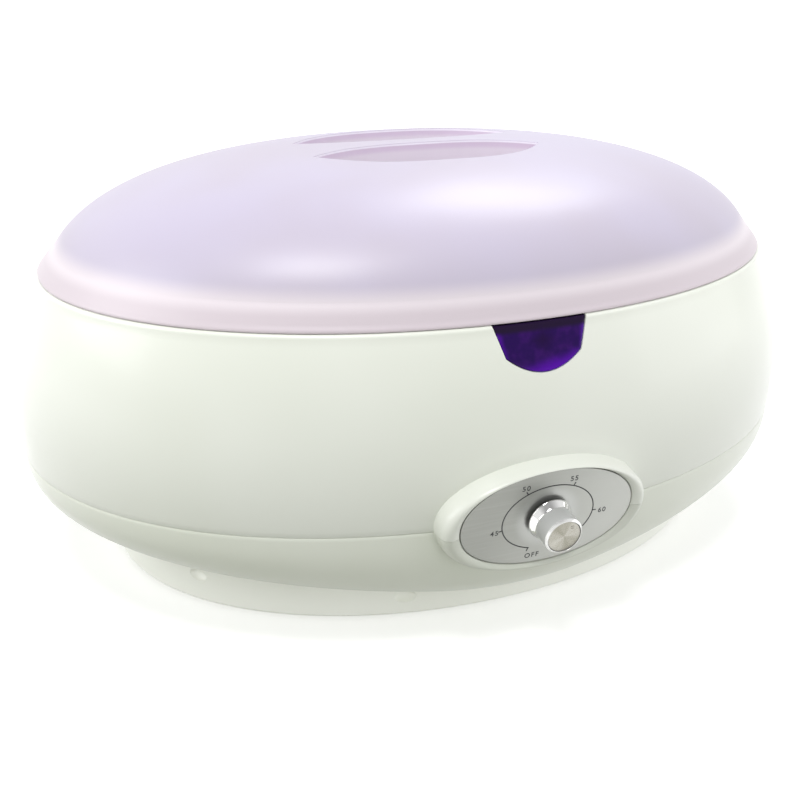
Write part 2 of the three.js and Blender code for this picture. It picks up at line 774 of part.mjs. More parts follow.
function lidShell() {
  const stripFoot = rimHeight + gap;
  const strip = lidHalfLength - lidStripInset;
  const stripWidth = lidHalfWidth - lidStripInset;
  const edge = lidHalfLength + lidEdgeProud;
  const edgeWidth = lidHalfWidth + lidEdgeProud;
  const lip = rimHalfLength - mouthInset - gap;
  const lipWidth = rimHalfWidth - mouthInset - gap;
  const lipFoot = rimHeight - lidLipDepth;
  const low = domeShareAt(lidEdgeHeight + 2 * lidEdgeThickness, 0);
  const lowInside = domeShareAt(lidEdgeHeight + lidEdgeThickness, lidWall);
  const inside = domeShares(domeSkinLevels, lowInside).slice(0, -1).map((share) => domeLevel(share, lidWall)).reverse();
  return ovalTurned([
    level(strip, stripWidth, stripFoot),
    level(strip, stripWidth, lidEdgeHeight),
    level(edge, edgeWidth, lidEdgeHeight),
    level(edge - lidEdgeProud / 2, edgeWidth - lidEdgeProud / 2, lidEdgeHeight + lidEdgeThickness),
    ...domeOutside(low),
    axisAt(domeTop),
    axisAt(domeTop - lidWall),
    ...inside,
    level(lip - lidLipWall, lipWidth - lidLipWall, lidEdgeHeight + lidEdgeThickness / 2),
    level(lip - lidLipWall, lipWidth - lidLipWall, lipFoot),
    level(lip, lipWidth, lipFoot),
    level(lip, lipWidth, stripFoot),
    level(strip, stripWidth, stripFoot),
  ], shellSteps);
}

// Outline of a finger recess: nearly straight along the grip bar, bowed on the outside, pointed at both ends
function gripOutline(side, grow) {
  const outline = new THREE.Shape();
  const half = gripHalfLength + grow;
  const inner = (x) => gripBarHalfWidth - grow + (gripTipHalfWidth - gripBarHalfWidth) * (x / half) ** 2;
  const outer = (x) => gripTipHalfWidth + grow + (gripReach - gripTipHalfWidth) * (1 - (x / half) ** 2);
  const shares = steps(gripSteps).map((share) => 2 * share - 1);
  const path = [
    ...shares.map((share) => new THREE.Vector2(share * half, side * outer(share * half))),
    ...shares.slice(1, -1).reverse().map((share) => new THREE.Vector2(share * half, side * inner(share * half))),
  ];
  outline.setFromPoints(path);
  return outline;
}

// A block on that outline which narrows towards its foot
function gripBlock(side, grow, foot, high) {
  const prism = new THREE.ExtrudeGeometry(gripOutline(side, grow), { depth: high - foot, bevelEnabled: false });
  prism.translate(0, 0, foot);
  const position = prism.getAttribute("position");
  for (let i = 0; i < position.count; i += 1) {
    if (position.getZ(i) > foot + gap) continue;
    const middle = side * (gripTipHalfWidth + gripReach) / 2;
    const narrow = 1 - gripDraft / (gripReach - gripBarHalfWidth);
    position.setX(i, position.getX(i) * (1 - gripDraft / gripHalfLength));
    position.setY(i, middle + (position.getY(i) - middle) * narrow);
  }
  return solidOf(prism);
}

function domeFilled() {
  const low = domeShareAt(lidEdgeHeight + 2 * lidEdgeThickness, 0);
  const foot = domeLevel(low, 0).height;
  return ovalTurned([axisAt(foot), ...domeOutside(low), axisAt(domeTop)], shellSteps);
}

function lid() {
  const foot = domeTop - gripDepth;
  const filled = domeFilled();
  const wells = [-1, 1].map((side) => gripBlock(side, gripWall, foot - gripWall, domeTop + overrun).intersect(filled));
  const hollows = [-1, 1].map((side) => gripBlock(side, 0, foot, domeTop + overrun));
  return cut(joined(lidShell(), ...wells), ...hollows);
}

// Inner pot: flange, tapering wall, rounded foot, and two studs under the floor
function potProfile(inset, floor) {
  const length = potFootHalfLength - inset;
  const width = potFootHalfWidth - inset;
  const radius = potCorner - inset;
  return steps(potCornerLevels).map((share) => {
    const turn = share * Math.PI / 2;
    const out = radius * (1 - Math.sin(turn));
    const up = radius * (1 - Math.cos(turn));
    return level(length - out, width - out, floor + up);
  });
}

const flangeHeight = ledgeHeight + gap + sealThickness + gap;
const flangeTop = flangeHeight + potFlangeThickness;

function innerPot() {
  const outside = potProfile(0, potFloorHeight);
  const inside = potProfile(potWall, potFloorHeight + potWall).reverse();
  const neck = level(rimHalfLength - potTopInset, rimHalfWidth - potTopInset, flangeHeight);
  const flange = level(rimHalfLength - potFlangeInset, rimHalfWidth - potFlangeInset, flangeHeight);
  const shell = ovalTurned([
    axisAt(potFloorHeight),
    ...outside,
    neck,
    flange,
    level(flange.length, flange.width, flangeTop),
    level(neck.length - potWall, neck.width - potWall, flangeTop),
    ...inside,
    axisAt(potFloorHeight + potWall),
  ], innerSteps);
  const studs = [-studPlace, studPlace].map((x) =>
    moved(rod(studRadius, potFloorHeight - studLength, potFloorHeight + potWall / 2, screwSides), x, 0, 0));
  return joined(shell, ...studs);
}

function potSeal() {
  const low = ledgeHeight + gap;
  const outer = level(rimHalfLength - sealOuterInset, rimHalfWidth - sealOuterInset, low);
  const inner = level(rimHalfLength - sealInnerInset, rimHalfWidth - sealInnerInset, low);
  return ovalTurned([
    inner,
    outer,
    level(outer.length, outer.width, low + sealThickness),
    level(inner.length, inner.width, low + sealThickness),
    inner,
  ], innerSteps);
}

// Finger grille: an oval plate with rows of slots, on short feet
const potInnerFloor = potFloorHeight + potWall;
const grilleLow = potInnerFloor + grilleLift;

function grilleSlots(length, width) {
  const slots = [];
  for (let column = 0; column < slotColumns; column += 1) {
    for (let row = 0; row < slotRows; row += 1) {
      const x = (column - (slotColumns - 1) / 2) * slotPitchAlong;
      const y = (row - (slotRows - 1) / 2) * slotPitchAcross;
      const reach = Math.hypot((Math.abs(x) + slotHalfLength) / length, (Math.abs(y) + slotHalfWidth) / width);
      if (reach < 1) slots.push([x, y]);
    }
  }
  return slots;
}

function slotHole(x, y) {
  const hole = new THREE.Path();
  const straight = slotHalfLength - slotHalfWidth;
  const ends = [[1, -Math.PI / 2], [-1, Math.PI / 2]];
  const places = ends.flatMap(([side, start]) => steps(slotSides).map((share) => new THREE.Vector2(
    x + side * straight + slotHalfWidth * Math.cos(start + share * Math.PI),
    y + slotHalfWidth * Math.sin(start + share * Math.PI),
  )));
  hole.setFromPoints(places);
  return hole;
}

function ovalShape(halfLength, halfWidth, count) {
  const shape = new THREE.Shape();
  shape.setFromPoints(steps(count).slice(0, -1).map((share) => {
    const { x, y } = ovalPoint(share * 2 * Math.PI, halfLength, halfWidth);
    return new THREE.Vector2(x, y);
  }));
  return shape;
}

function fingerGrille() {
  const length = rimHalfLength - grilleInset;
  const width = rimHalfWidth - grilleInset;
  const outline = ovalShape(length, width, innerSteps);
  outline.holes = grilleSlots(length, width).map(([x, y]) => slotHole(x, y));
  const plate = new THREE.ExtrudeGeometry(outline, { depth: grilleThickness, bevelEnabled: false });
  plate.translate(0, 0, grilleLow);
  const [alongShare, acrossShare] = grilleFootShares;
  const feet = fourCorners(slotPitchAlong * alongShare, slotPitchAcross * acrossShare).map(([x, y]) =>
    moved(rod(grilleFootRadius, potInnerFloor + gap, grilleLow + grilleThickness / 2, screwSides), x, y, 0));
  return joined(solidOf(plate), ...feet);
}

const studHoles = () => [-studPlace, studPlace].map((x) => moved(rod(studHole, 0, potFloorHeight, screwSides), x, 0, 0));
const heaterHigh = potFloorHeight - gap;
const clampHigh = heaterHigh - heaterThickness - gap;
const clampLow = clampHigh - clampThickness;

const heaterMat = () => cut(
  ovalBlock(heaterHalfLength, heaterHalfWidth, heaterHigh - heaterThickness, heaterHigh, innerSteps), ...studHoles());
const clampPlate = () => cut(ovalBlock(clampHalfLength, clampHalfWidth, clampLow, clampHigh, innerSteps), ...studHoles());

function hexNut(radius, bore, thickness) {
  return cut(rod(radius, 0, thickness, 6), rod(bore, -overrun, thickness + overrun, roundSides));
}

function heatShield() {
  const low = shieldHeight;
  const high = low + shieldThickness;
  const rim = high + shieldRim;
  const tray = ovalTurned([
    axisAt(low),
    level(shieldHalfLength, shieldHalfWidth, low),
    level(shieldHalfLength + shieldFlare, shieldHalfWidth + shieldFlare, rim),
    level(shieldHalfLength + shieldFlare - shieldThickness, shieldHalfWidth + shieldFlare - shieldThickness, rim),
    level(shieldHalfLength - shieldThickness, shieldHalfWidth - shieldThickness, high),
    axisAt(high),
  ], innerSteps);
  const holes = fourCorners(shieldPostAlong, shieldPostAcross).map(([x, y]) =>
    moved(rod(screwHole, low - overrun, high + overrun, screwSides), x, y, 0));
  return cut(tray, ...holes);
}

// Sensor or fuse bead lying along X against the clamp plate, and the saddle clip over it
const beadHeight = clampLow - gap - sensorRadius;
const bead = () => rod(sensorRadius, -sensorLength / 2, sensorLength / 2, screwSides).rotate([0, 90, 0]);

function saddleClip() {
  const inner = sensorRadius + gap;
  const outer = inner + clipWall;
  const shape = new THREE.Shape();
  const top = clampLow - gap - beadHeight;
  const arc = (radius, from, to) => steps(slotSides).map((share) => {
    const turn = from + share * (to - from);
    return new THREE.Vector2(radius * Math.cos(turn), radius * Math.sin(turn));
  });
  shape.setFromPoints([
    new THREE.Vector2(-outer - clipFoot, top),
    new THREE.Vector2(-outer - clipFoot, top - clipWall),
    new THREE.Vector2(-outer, top - clipWall),
    ...arc(outer, -Math.PI, 0),
    new THREE.Vector2(outer, top - clipWall),
    new THREE.Vector2(outer + clipFoot, top - clipWall),
    new THREE.Vector2(outer + clipFoot, top),
    new THREE.Vector2(inner, top),
    ...arc(inner, 0, -Math.PI),
    new THREE.Vector2(-inner, top),
  ]);
  const strap = new THREE.ExtrudeGeometry(shape, { depth: clipWidth, bevelEnabled: false });
  strap.translate(0, 0, -clipWidth / 2);
  strap.rotateX(Math.PI / 2);
  strap.rotateZ(Math.PI / 2);
  return solidOf(strap);
}

// Screw with its head's underside at height 0 and its shank below
function screw(length, headRadius, headHeight) {
  return turned([
    [0, -length],
    [screwRadius / 2, -length],
    [screwRadius, -length + screwRadius],
    [screwRadius, 0],
    [headRadius, 0],
    [headRadius, headHeight / 2],
    [headRadius / 2, headHeight],
    [0, headHeight],
  ], screwSides);
}

// Dial parts, all in the dial frame
function dialPlate() {
  const plate = ovalBlock(plateHalfLength, plateHalfWidth, -plateThickness, 0, dialSteps);
  return cut(plate, rod(plateHole, -overrun, overrun, roundSides));
}

const bezelFloorBack = -plateThickness - gap - bezelFloorThickness;

function potentiometerBody() {
  const face = bezelFloorBack - gap;
  const bore = shaftRadius + gap;
  return turned([
    [0, face - potentiometerDepth],
    [potentiometerRadius, face - potentiometerDepth],
    [potentiometerRadius, face],
    [bushingRadius, face],
    [bushingRadius, bushingProud],
    [bore, bushingProud],
    [bore, face - shaftDepth - gap],
    [0, face - shaftDepth - gap],
  ], roundSides);
}

const shaftTop = knobReach - knobFaceThickness - 4 * gap;
const potentiometerShaft = () => rod(shaftRadius, bezelFloorBack - gap - shaftDepth, shaftTop - gap, roundSides);

function knobCore() {
  const foot = knobFoot;
  const inner = knobRadius - knobWall - gap;
  const top = knobReach - knobFaceThickness - gap;
  return turned([
    [knobHollowRadius, foot],
    [knobRadius + knobWall, foot],
    [knobRadius + knobWall, foot + knobFootThickness],
    [inner, foot + knobFootThickness],
    [inner, top],
    [0, top],
    [0, shaftTop],
    [shaftRadius + gap, shaftTop],
    [shaftRadius + gap, bushingProud + 2 * gap],
    [knobHollowRadius, bushingProud + gap],
    [knobHollowRadius, foot],
  ], knobSides);
}

function knobSleeve() {
  const low = knobFoot + knobFootThickness + gap;
  const bore = knobRadius - knobWall;
  return turned([
    [bore, low],
    [knobSkirtRadius, low],
    [knobSkirtRadius - knobWall / 2, low + knobSkirtHeight / 3],
    [knobRadius + knobWall / 3, low + knobSkirtHeight * 2 / 3],
    [knobRadius, low + knobSkirtHeight],
    [knobRadius, knobReach - knobChamfer],
    [knobRadius - knobChamfer, knobReach],
    [bore - knobWall / 2, knobReach],
    [bore - knobWall / 2, knobReach - knobFaceThickness],
    [bore, knobReach - knobFaceThickness],
    [bore, low],
  ], knobSides);
}

function knobFace() {
  const dish = turned([
    [0, knobReach - knobFaceThickness],
    [knobFaceRadius - gap, knobReach - knobFaceThickness],
    [knobFaceRadius - gap, knobReach - gap],
    [0, knobReach - gap],
  ], knobSides);
  const pointer = turned([
    [0, knobReach - gap - pointerDepth],
    [pointerRadius / 2, knobReach - gap - pointerDepth],
    [pointerRadius, knobReach],
    [0, knobReach],
  ], screwSides);
  return cut(dish, moved(pointer, pointerPlace * Math.cos(pointerTurn), pointerPlace * Math.sin(pointerTurn), 0));
}

// Parts on the control board
const boardTop = boardHeight + boardThickness;

function onBoard(size, place) {
  const centre = new THREE.Vector3(place.along, place.across, boardTop + gap + size.height / 2);
  return block(size, centre);
}

function controlBoard() {
  const size = { length: 2 * boardHalfLength, width: 2 * boardHalfWidth, height: boardThickness };
  const plate = block(size, new THREE.Vector3(boardCentreAlong, 0, boardHeight + boardThickness / 2));
  const holes = boardHoles.map(([x, y]) => moved(rod(screwHole, 0, boardTop + overrun, screwSides), x, y, 0));
  return cut(plate, ...holes);
}

function glassFuse() {
  const half = fuseHalfLength;
  const body = turned([
    [0, -half],
    [fuseCapRadius, -half],
    [fuseCapRadius, -half + fuseCapLength],
    [fuseRadius, -half + fuseCapLength],
    [fuseRadius, half - fuseCapLength],
    [fuseCapRadius, half - fuseCapLength],
    [fuseCapRadius, half],
    [0, half],
  ], roundSides);
  return moved(body.rotate([0, 90, 0]), fusePlace.along, fusePlace.across, boardTop + gap + fuseCapRadius);
}

function boardConnector() {
  const housing = onBoard(connectorSize, connectorPlace);
  const slot = { length: connectorSize.length / 2, width: connectorSize.width - connectorSize.length / 2, height: connectorSize.height };
  const lift = boardTop + gap + connectorSize.height;
  return cut(housing, block(slot, new THREE.Vector3(connectorPlace.along, connectorPlace.across, lift)));
}

// Board of the pilot lights, standing behind the window
function lightBoard() {
  const height = lightBoardHigh - lightBoardLow;
  const size = { length: 2 * lightBoardHalfLength, width: boardThickness, height };
  const place = new THREE.Vector3(0, -lightBoardDepth + boardThickness / 2, lightBoardLow + height / 2);
  return cut(block(size, place), ...lightPosts(screwHole, 0, 2 * lightBoardDepth));
}

function pilotLamp() {
  return turned([
    [0, 0],
    [lampFlange, 0],
    [lampFlange, lampFlangeThickness],
    [lampRadius, lampFlangeThickness],
    [lampRadius, lampLength - lampRadius / 2],
    [lampRadius * 2 / 3, lampLength - lampRadius / 6],
    [0, lampLength],
  ], lampSides);
}

// Cord gland through the pad in the rear wall
function cordGland() {
  const inner = glandPadFace - glandPadDepth - gap;
  return alongBack(turned([
    [glandBore, inner - glandBackLength + glandPadDepth - glandLockThickness],
    [glandRadius, inner - glandBackLength + glandPadDepth - glandLockThickness],
    [glandRadius, glandPadFace + gap],
    [glandFlangeRadius, glandPadFace + gap],
    [glandFlangeRadius, glandPadFace + gap + glandFlangeThickness / 2],
    [glandFlangeRadius - glandFlangeThickness / 2, glandPadFace + gap + glandFlangeThickness],
    [glandBore, glandPadFace + gap + glandFlangeThickness],
    [glandBore, inner - glandBackLength + glandPadDepth - glandLockThickness],
  ], footSides));
}

function terminalBlock() {
  const lift = innerFloor + gap + terminalSize.height / 2;
  const housing = block(terminalSize, new THREE.Vector3(terminalPlace.along, terminalPlace.across, lift));
  const channels = Array.from({ length: terminalChannels }, (_, i) => {
    const x = terminalPlace.along + (i - (terminalChannels - 1) / 2) * terminalPitch;
    const hole = rod(terminalChannelRadius, -terminalSize.width, terminalSize.width, screwSides).rotate([90, 0, 0]);
    return moved(hole, x, terminalPlace.across, lift);
  });
  return cut(housing, ...channels);
}

function clampBar() {
  const bar = block(clampBarSize, new THREE.Vector3(0, clampBarPlace, clampPostHeight + gap + clampBarSize.height / 2));
  const holes = [-clampPostPlace, clampPostPlace].map((x) =>
    moved(rod(screwHole, 0, 2 * clampPostHeight, screwSides), x, clampBarPlace, 0));
  return cut(bar, ...holes);
}

function rubberFoot() {
  return turned([
    [0, 0],
    [footRadius - plinthLift, 0],
    [footRadius, plinthLift],
    [footRadius, footThickness],
    [0, footThickness],
  ], footSides);
}

// A wire along a smooth curve through hand-chosen places
function wire(places) {
  const curve = new THREE.CatmullRomCurve3(places.map(([x, y, z]) => new THREE.Vector3(x, y, z)));
  const section = new THREE.Shape();
  section.setFromPoints(steps(wireSides).slice(0, -1).map((share) => {
    const turn = share * 2 * Math.PI;
    return new THREE.Vector2(wireRadius * Math.cos(turn), wireRadius * Math.sin(turn));
  }));
  const count = Math.max(4, Math.round(curve.getLength() / wireStep));
  return solidOf(new THREE.ExtrudeGeometry(section, { steps: count, extrudePath: curve, bevelEnabled: false }));
}

// Way of one lead: out of its port on the connector, through its places, and up to the part it serves
function leadWay(port, name, end) {
  const out = connectorPlace.along + connectorSize.length / 2 + gap;
  const across = connectorPlace.across + (port - (wirePorts - 1) / 2) * wirePitch;
  const height = boardTop + gap + connectorSize.height / 2;
  return wire([[out, across, height], [out + wirePitch, across, height], ...leadWays[name], end]);
}

const dialBack = bezelFloorBack - gap - potentiometerDepth - gap;
const sensorEnd = [sensorLength / 2 + gap, sensorPlace, beadHeight];
const heaterEnd = [20, -heaterHalfWidth - gap, heaterHigh - wireRadius];
const dialEnd = [0, -dialForward - dialBack * Math.cos(dialLean), dialHeight - dialBack * Math.sin(dialLean)];
const lightEnd = [12, -lightBoardDepth + boardThickness / 2, lightBoardLow - gap];
const terminalPitch = terminalSize.length / terminalChannels;
const mainsEnd = [
  terminalPlace.along - terminalPitch,
  terminalPlace.across - terminalSize.width / 2 - gap,
  innerFloor + gap + terminalSize.height / 2,
];

// The assembly
const bath = new THREE.Group();

function add(name, solid, finish, x = 0, y = 0, z = 0) {
  const mesh = piece(name, solid, finish);
  mesh.position.set(x, y, z);
  bath.add(mesh);
  return mesh;
}

add("lid", lid(), finishes.lid);
add("upper_housing", upperHousing(), finishes.shell);
add("base_housing", baseHousing(), finishes.shell);
add("window_lens", windowLens(), finishes.window);
add("pot_seal", potSeal(), finishes.silicone);
add("inner_pot", innerPot(), finishes.aluminium);
add("finger_grille", fingerGrille(), finishes.grille);
add("heater_mat", heaterMat(), finishes.heater);
add("clamp_plate", clampPlate(), finishes.aluminium);
add("heat_shield", heatShield(), finishes.steel);

[-studPlace, studPlace].forEach((x, i) => {
  const nut = hexNut(clampNutRadius, studRadius + gap, clampNutThickness);
  add(`clamp_nut_${i + 1}`, nut, finishes.steel, x, 0, clampLow - gap - clampNutThickness);
});

add("temperature_sensor", bead(), finishes.steel, 0, sensorPlace, beadHeight);
add("sensor_clip", saddleClip(), finishes.aluminium, 0, sensorPlace, beadHeight);
add("thermal_fuse", bead(), finishes.silicone, 0, -sensorPlace, beadHeight);
add("fuse_clip", saddleClip(), finishes.aluminium, 0, -sensorPlace, beadHeight);

const dial = new THREE.Group();
dial.applyMatrix4(dialPlace);
bath.add(dial);
dial.add(piece("dial_plate", dialPlate(), finishes.plate));
dial.add(piece("potentiometer_body", potentiometerBody(), finishes.steel));
dial.add(piece("potentiometer_shaft", potentiometerShaft(), finishes.aluminium));
dial.add(piece("knob_core", knobCore(), finishes.black));
dial.add(piece("knob_sleeve", knobSleeve(), finishes.polished));
dial.add(piece("knob_face", knobFace(), finishes.spun));
const dialNut = piece("potentiometer_nut", hexNut(nutRadius, bushingRadius + gap, nutThickness), finishes.steel);
dialNut.position.set(0, 0, -plateThickness);
dial.add(dialNut);

add("control_board", controlBoard(), finishes.board);
add("relay", onBoard(relaySize, relayPlace), finishes.component);
add("film_capacitor", onBoard(filmSize, filmPlace), finishes.heater);
add("can_capacitor", rod(canRadius, 0, canHeight, roundSides), finishes.black, canPlace.along, canPlace.across, boardTop + gap);
add("board_fuse", glassFuse(), finishes.steel);
add("board_connector", boardConnector(), finishes.grille);
add("light_board", lightBoard(), finishes.board);

[["red_lamp", -lampPlace, finishes.red], ["green_lamp", lampPlace, finishes.green]].forEach(([name, x, finish]) => {
  const height = (lightBoardLow + lightBoardHigh) / 2;
  const lamp = add(name, pilotLamp(), finish, x, -lightBoardDepth - gap, height);
  lamp.rotation.x = Math.PI / 2;
});

[-lightPostPlace, lightPostPlace].forEach((x, i) => {
  const backFace = -lightBoardDepth + boardThickness + gap;
  const mesh = add(`light_screw_${i + 1}`, screw(lightScrewLength, screwHeadRadius, screwHeadHeight), finishes.steel, x, backFace, lightPostHeight);
  mesh.rotation.x = -Math.PI / 2;
});

boardHoles.forEach(([x, y], i) => {
  add(`board_screw_${i + 1}`, screw(boardScrewLength, screwHeadRadius, screwHeadHeight), finishes.steel, x, y, boardTop + gap);
});

fourCorners(shieldPostAlong, shieldPostAcross).forEach(([x, y], i) => {
  const seat = shieldHeight + shieldThickness + gap;
  add(`shield_screw_${i + 1}`, screw(screwLength, screwHeadRadius, screwHeadHeight), finishes.steel, x, y, seat);
});

fourCorners(wellAlong, wellAcross).forEach(([x, y], i) => {
  const seat = wellRoof - wellRoofThickness - gap;
  const mesh = add(`base_screw_${i + 1}`, screw(longScrewLength, longScrewHeadRadius, longScrewHeadHeight), finishes.steel, x, y, seat);
  mesh.rotation.x = Math.PI;
});

fourCorners(footAlong, footAcross).forEach(([x, y], i) => {
  add(`foot_${i + 1}`, rubberFoot(), finishes.rubber, x, y, 0);
});

add("cord_gland", cordGland(), finishes.black);
add("terminal_block", terminalBlock(), finishes.grille);
add("cord_clamp", clampBar(), finishes.black);
[-clampPostPlace, clampPostPlace].forEach((x, i) => {
  const seat = clampPostHeight + gap + clampBarSize.height + gap;
  add(`cord_clamp_screw_${i + 1}`, screw(screwLength, screwHeadRadius, screwHeadHeight), finishes.steel, x, clampBarPlace, seat);
});

add("dial_lead", leadWay(0, "dial", dialEnd), finishes.wire);
add("light_lead", leadWay(1, "light", lightEnd), finishes.wire);
add("heater_lead", leadWay(2, "heater", heaterEnd), finishes.wire);
add("mains_lead", leadWay(3, "mains", mainsEnd), finishes.wire);
add("sensor_lead", leadWay(4, "sensor", sensorEnd), finishes.wire);

// The tub is centred on the ground between its rear wall and the face of the knob
const frontReach = dialForward + knobReach * Math.cos(dialLean) + (knobRadius - knobChamfer) * Math.sin(dialLean);
const rearReach = Math.max(...steps(sideLevels).map((share) => sideLevel(share, 0).width));
bath.position.y = (frontReach - rearReach) / 2;

const paraffinBath = new THREE.Group();
paraffinBath.add(bath);

export default paraffinBath;
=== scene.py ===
# %% [markdown]
# A paraffin wax bath, dressed for a picture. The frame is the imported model: it gives every body,
# every joint and the size of the whole. Each piece made here is in metres, stands where the frame
# says, and rides on one of its bodies, so that the lid lifts, the grille lifts and the knob turns.

# %% The frame
import json
import math

import bmesh
import bpy
import numpy as np
from mathutils import Matrix, Vector


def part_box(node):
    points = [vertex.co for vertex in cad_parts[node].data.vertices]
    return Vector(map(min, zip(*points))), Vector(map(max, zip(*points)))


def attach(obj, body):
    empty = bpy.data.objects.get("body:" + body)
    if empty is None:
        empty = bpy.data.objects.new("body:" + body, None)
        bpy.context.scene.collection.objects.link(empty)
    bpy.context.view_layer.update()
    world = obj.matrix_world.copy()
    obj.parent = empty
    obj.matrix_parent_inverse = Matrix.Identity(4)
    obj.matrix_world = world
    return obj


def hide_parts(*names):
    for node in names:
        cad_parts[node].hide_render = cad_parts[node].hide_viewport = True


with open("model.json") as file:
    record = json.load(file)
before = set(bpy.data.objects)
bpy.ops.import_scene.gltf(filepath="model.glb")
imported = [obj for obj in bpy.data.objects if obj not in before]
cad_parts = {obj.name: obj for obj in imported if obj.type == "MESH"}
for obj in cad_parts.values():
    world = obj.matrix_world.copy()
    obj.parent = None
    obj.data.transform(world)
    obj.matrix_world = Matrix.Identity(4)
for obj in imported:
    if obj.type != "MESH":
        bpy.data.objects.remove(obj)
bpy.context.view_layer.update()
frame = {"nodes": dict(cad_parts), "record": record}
MM = 0.001


def placed(name, data):
    """A new object in the scene, for a mesh, a light, a camera or a text."""
    thing = bpy.data.objects.new(name, data)
    bpy.context.scene.collection.objects.link(thing)
    return thing


# %% [markdown]
# The tub is an oval that is a little blunter than an ellipse, and its size changes with height.
# The oval's middle isn't the origin, because the knob stands out in front: the pot, which is
# centred in the tub, tells where the middle is. An oval is a half length and a half width.

# %% Sizes of the tub
pot_low, pot_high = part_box("inner_pot")
MIDDLE_Y = (pot_low.y + pot_high.y) / 2
BLUNTNESS = 2.07
PARTING, RIM = 60.2 * MM, 140.2 * MM
PARTING_OVAL = (196.9 * MM, 143.9 * MM)
MIDDLE_OVAL = (193.9 * MM, 142.4 * MM)
RIM_OVAL = (180.9 * MM, 130.2 * MM)
UNDER, UNDER_OVAL, UNDER_FULLNESS = 19.2 * MM, (120 * MM, 130 * MM), 3
PLINTH_OVAL = (159.2 * MM, 115.4 * MM)
WALL = 2.8 * MM
SEAM = 0.05 * MM
OVAL_STEPS = 224
print(f"middle of the oval at y = {MIDDLE_Y * 1000:.2f} mm")

# %% [markdown]
# The camera stands where the photographer stood: to the left of the dial, a little above the lid,
# about half a metre away. A 45 mm lens on a 36 mm sensor gives the same perspective, so the near
# end of the oval swells just as much.

# %% Camera
CAMERA_PLACE = Vector((-183.0 * MM, MIDDLE_Y - 457.8 * MM, 269.0 * MM))
CAMERA_TURN, CAMERA_DIP, CAMERA_ROLL = 0.3656, 0.413, 0.0039
LENS_MM, SENSOR_MM = 45, 36
NEAREST, FARTHEST = 0.01, 50


def camera_axes(turn, dip, roll):
    """Right, up and back of a camera that looks along +Y, turned to the right and dipped."""
    ahead = Vector((math.sin(turn) * math.cos(dip), math.cos(turn) * math.cos(dip), -math.sin(dip)))
    right = Vector((math.cos(turn), -math.sin(turn), 0))
    up = right.cross(ahead)
    return right * math.cos(roll) + up * math.sin(roll), up * math.cos(roll) - right * math.sin(roll), -ahead


camera = placed("camera", bpy.data.cameras.new("camera"))
camera.data.lens, camera.data.sensor_width = LENS_MM, SENSOR_MM
camera.data.clip_start, camera.data.clip_end = NEAREST, FARTHEST
axes = Matrix(camera_axes(CAMERA_TURN, CAMERA_DIP, CAMERA_ROLL)).transposed()
camera.matrix_world = Matrix.Translation(CAMERA_PLACE) @ axes.to_4x4()
bpy.context.scene.camera = camera
print("camera at", tuple(round(v, 3) for v in CAMERA_PLACE))

# %% [markdown]
# Every node in this lesson is added by one method, whether it belongs to a material, to the room or
# to a tree of Geometry Nodes. Maths on sockets reads like ordinary arithmetic, because a small class
# wraps a socket: adding or multiplying two of them adds the Math node that does it.


# %% Nodes and their arithmetic
class Value:
    """A number that a socket carries. Arithmetic on it adds Math nodes to its tree."""

    def __init__(self, nodes, socket):
        self.nodes, self.socket = nodes, socket

    def math(self, operation, *others):
        node = self.nodes.node("ShaderNodeMath", {"operation": operation}, self, *others)
        return Value(self.nodes, node.outputs[0])

    def __add__(self, other):
        return self.math("ADD", other)

    __radd__ = __add__

    def __mul__(self, other):
        return self.math("MULTIPLY", other)

    __rmul__ = __mul__

    def __sub__(self, other):
        return self.math("SUBTRACT", other)

    def __rsub__(self, other):
        return self.math("MULTIPLY", -1) + other

    def __truediv__(self, other):
        return self.math("DIVIDE", other)

    def __pow__(self, other):
        return self.math("POWER", other)

    def rising(self, start, end, way="SMOOTHSTEP"):
        """0 below start, 1 above end, and smooth between."""
        node = self.nodes.node("ShaderNodeMapRange", {"interpolation_type": way}, self, start, end)
        return Value(self.nodes, node.outputs[0])


class Nodes:
    """A node tree, and the one method that adds nodes to it."""

    def __init__(self, tree):
        self.tree = tree

    def node(self, kind, settings=None, *values, **named):
        """Adds a node. Its settings come first, then numbers or links for its sockets."""
        made = self.tree.nodes.new(kind)
        for key, setting in (settings or {}).items():
            setattr(made, key, setting)
        for key, value in [*enumerate(values), *named.items()]:
            self.feed(made.inputs[key.replace("_", " ") if isinstance(key, str) else key], value)
        return made

    def feed(self, socket, value):
        if isinstance(value, Value):
            value = value.socket
        if isinstance(value, bpy.types.NodeSocket):
            self.tree.links.new(value, socket)
        elif value is not None:
            socket.default_value = value

    def split(self, vector):
        """The three coordinates of a vector as numbers."""
        return [Value(self, output) for output in self.node("ShaderNodeSeparateXYZ", None, vector).outputs]

    def blend(self, one, other, share, way="MIX"):
        """A colour between two colours."""
        mix = self.node("ShaderNodeMix", {"data_type": "RGBA", "blend_type": way})
        for key, value in (("Factor", share), ("A", one), ("B", other)):
            socket = next(s for s in mix.inputs if s.name == key and s.enabled)
            self.feed(socket, (*value, 1) if isinstance(value, tuple) else value)
        return next(s for s in mix.outputs if s.enabled)


print("nodes are added by Nodes.node")

# %% [markdown]
# A material is a Principled shader whose colour and roughness run over the surface. Its patterns are
# drawn in object coordinates, so they stay on a piece that moves.


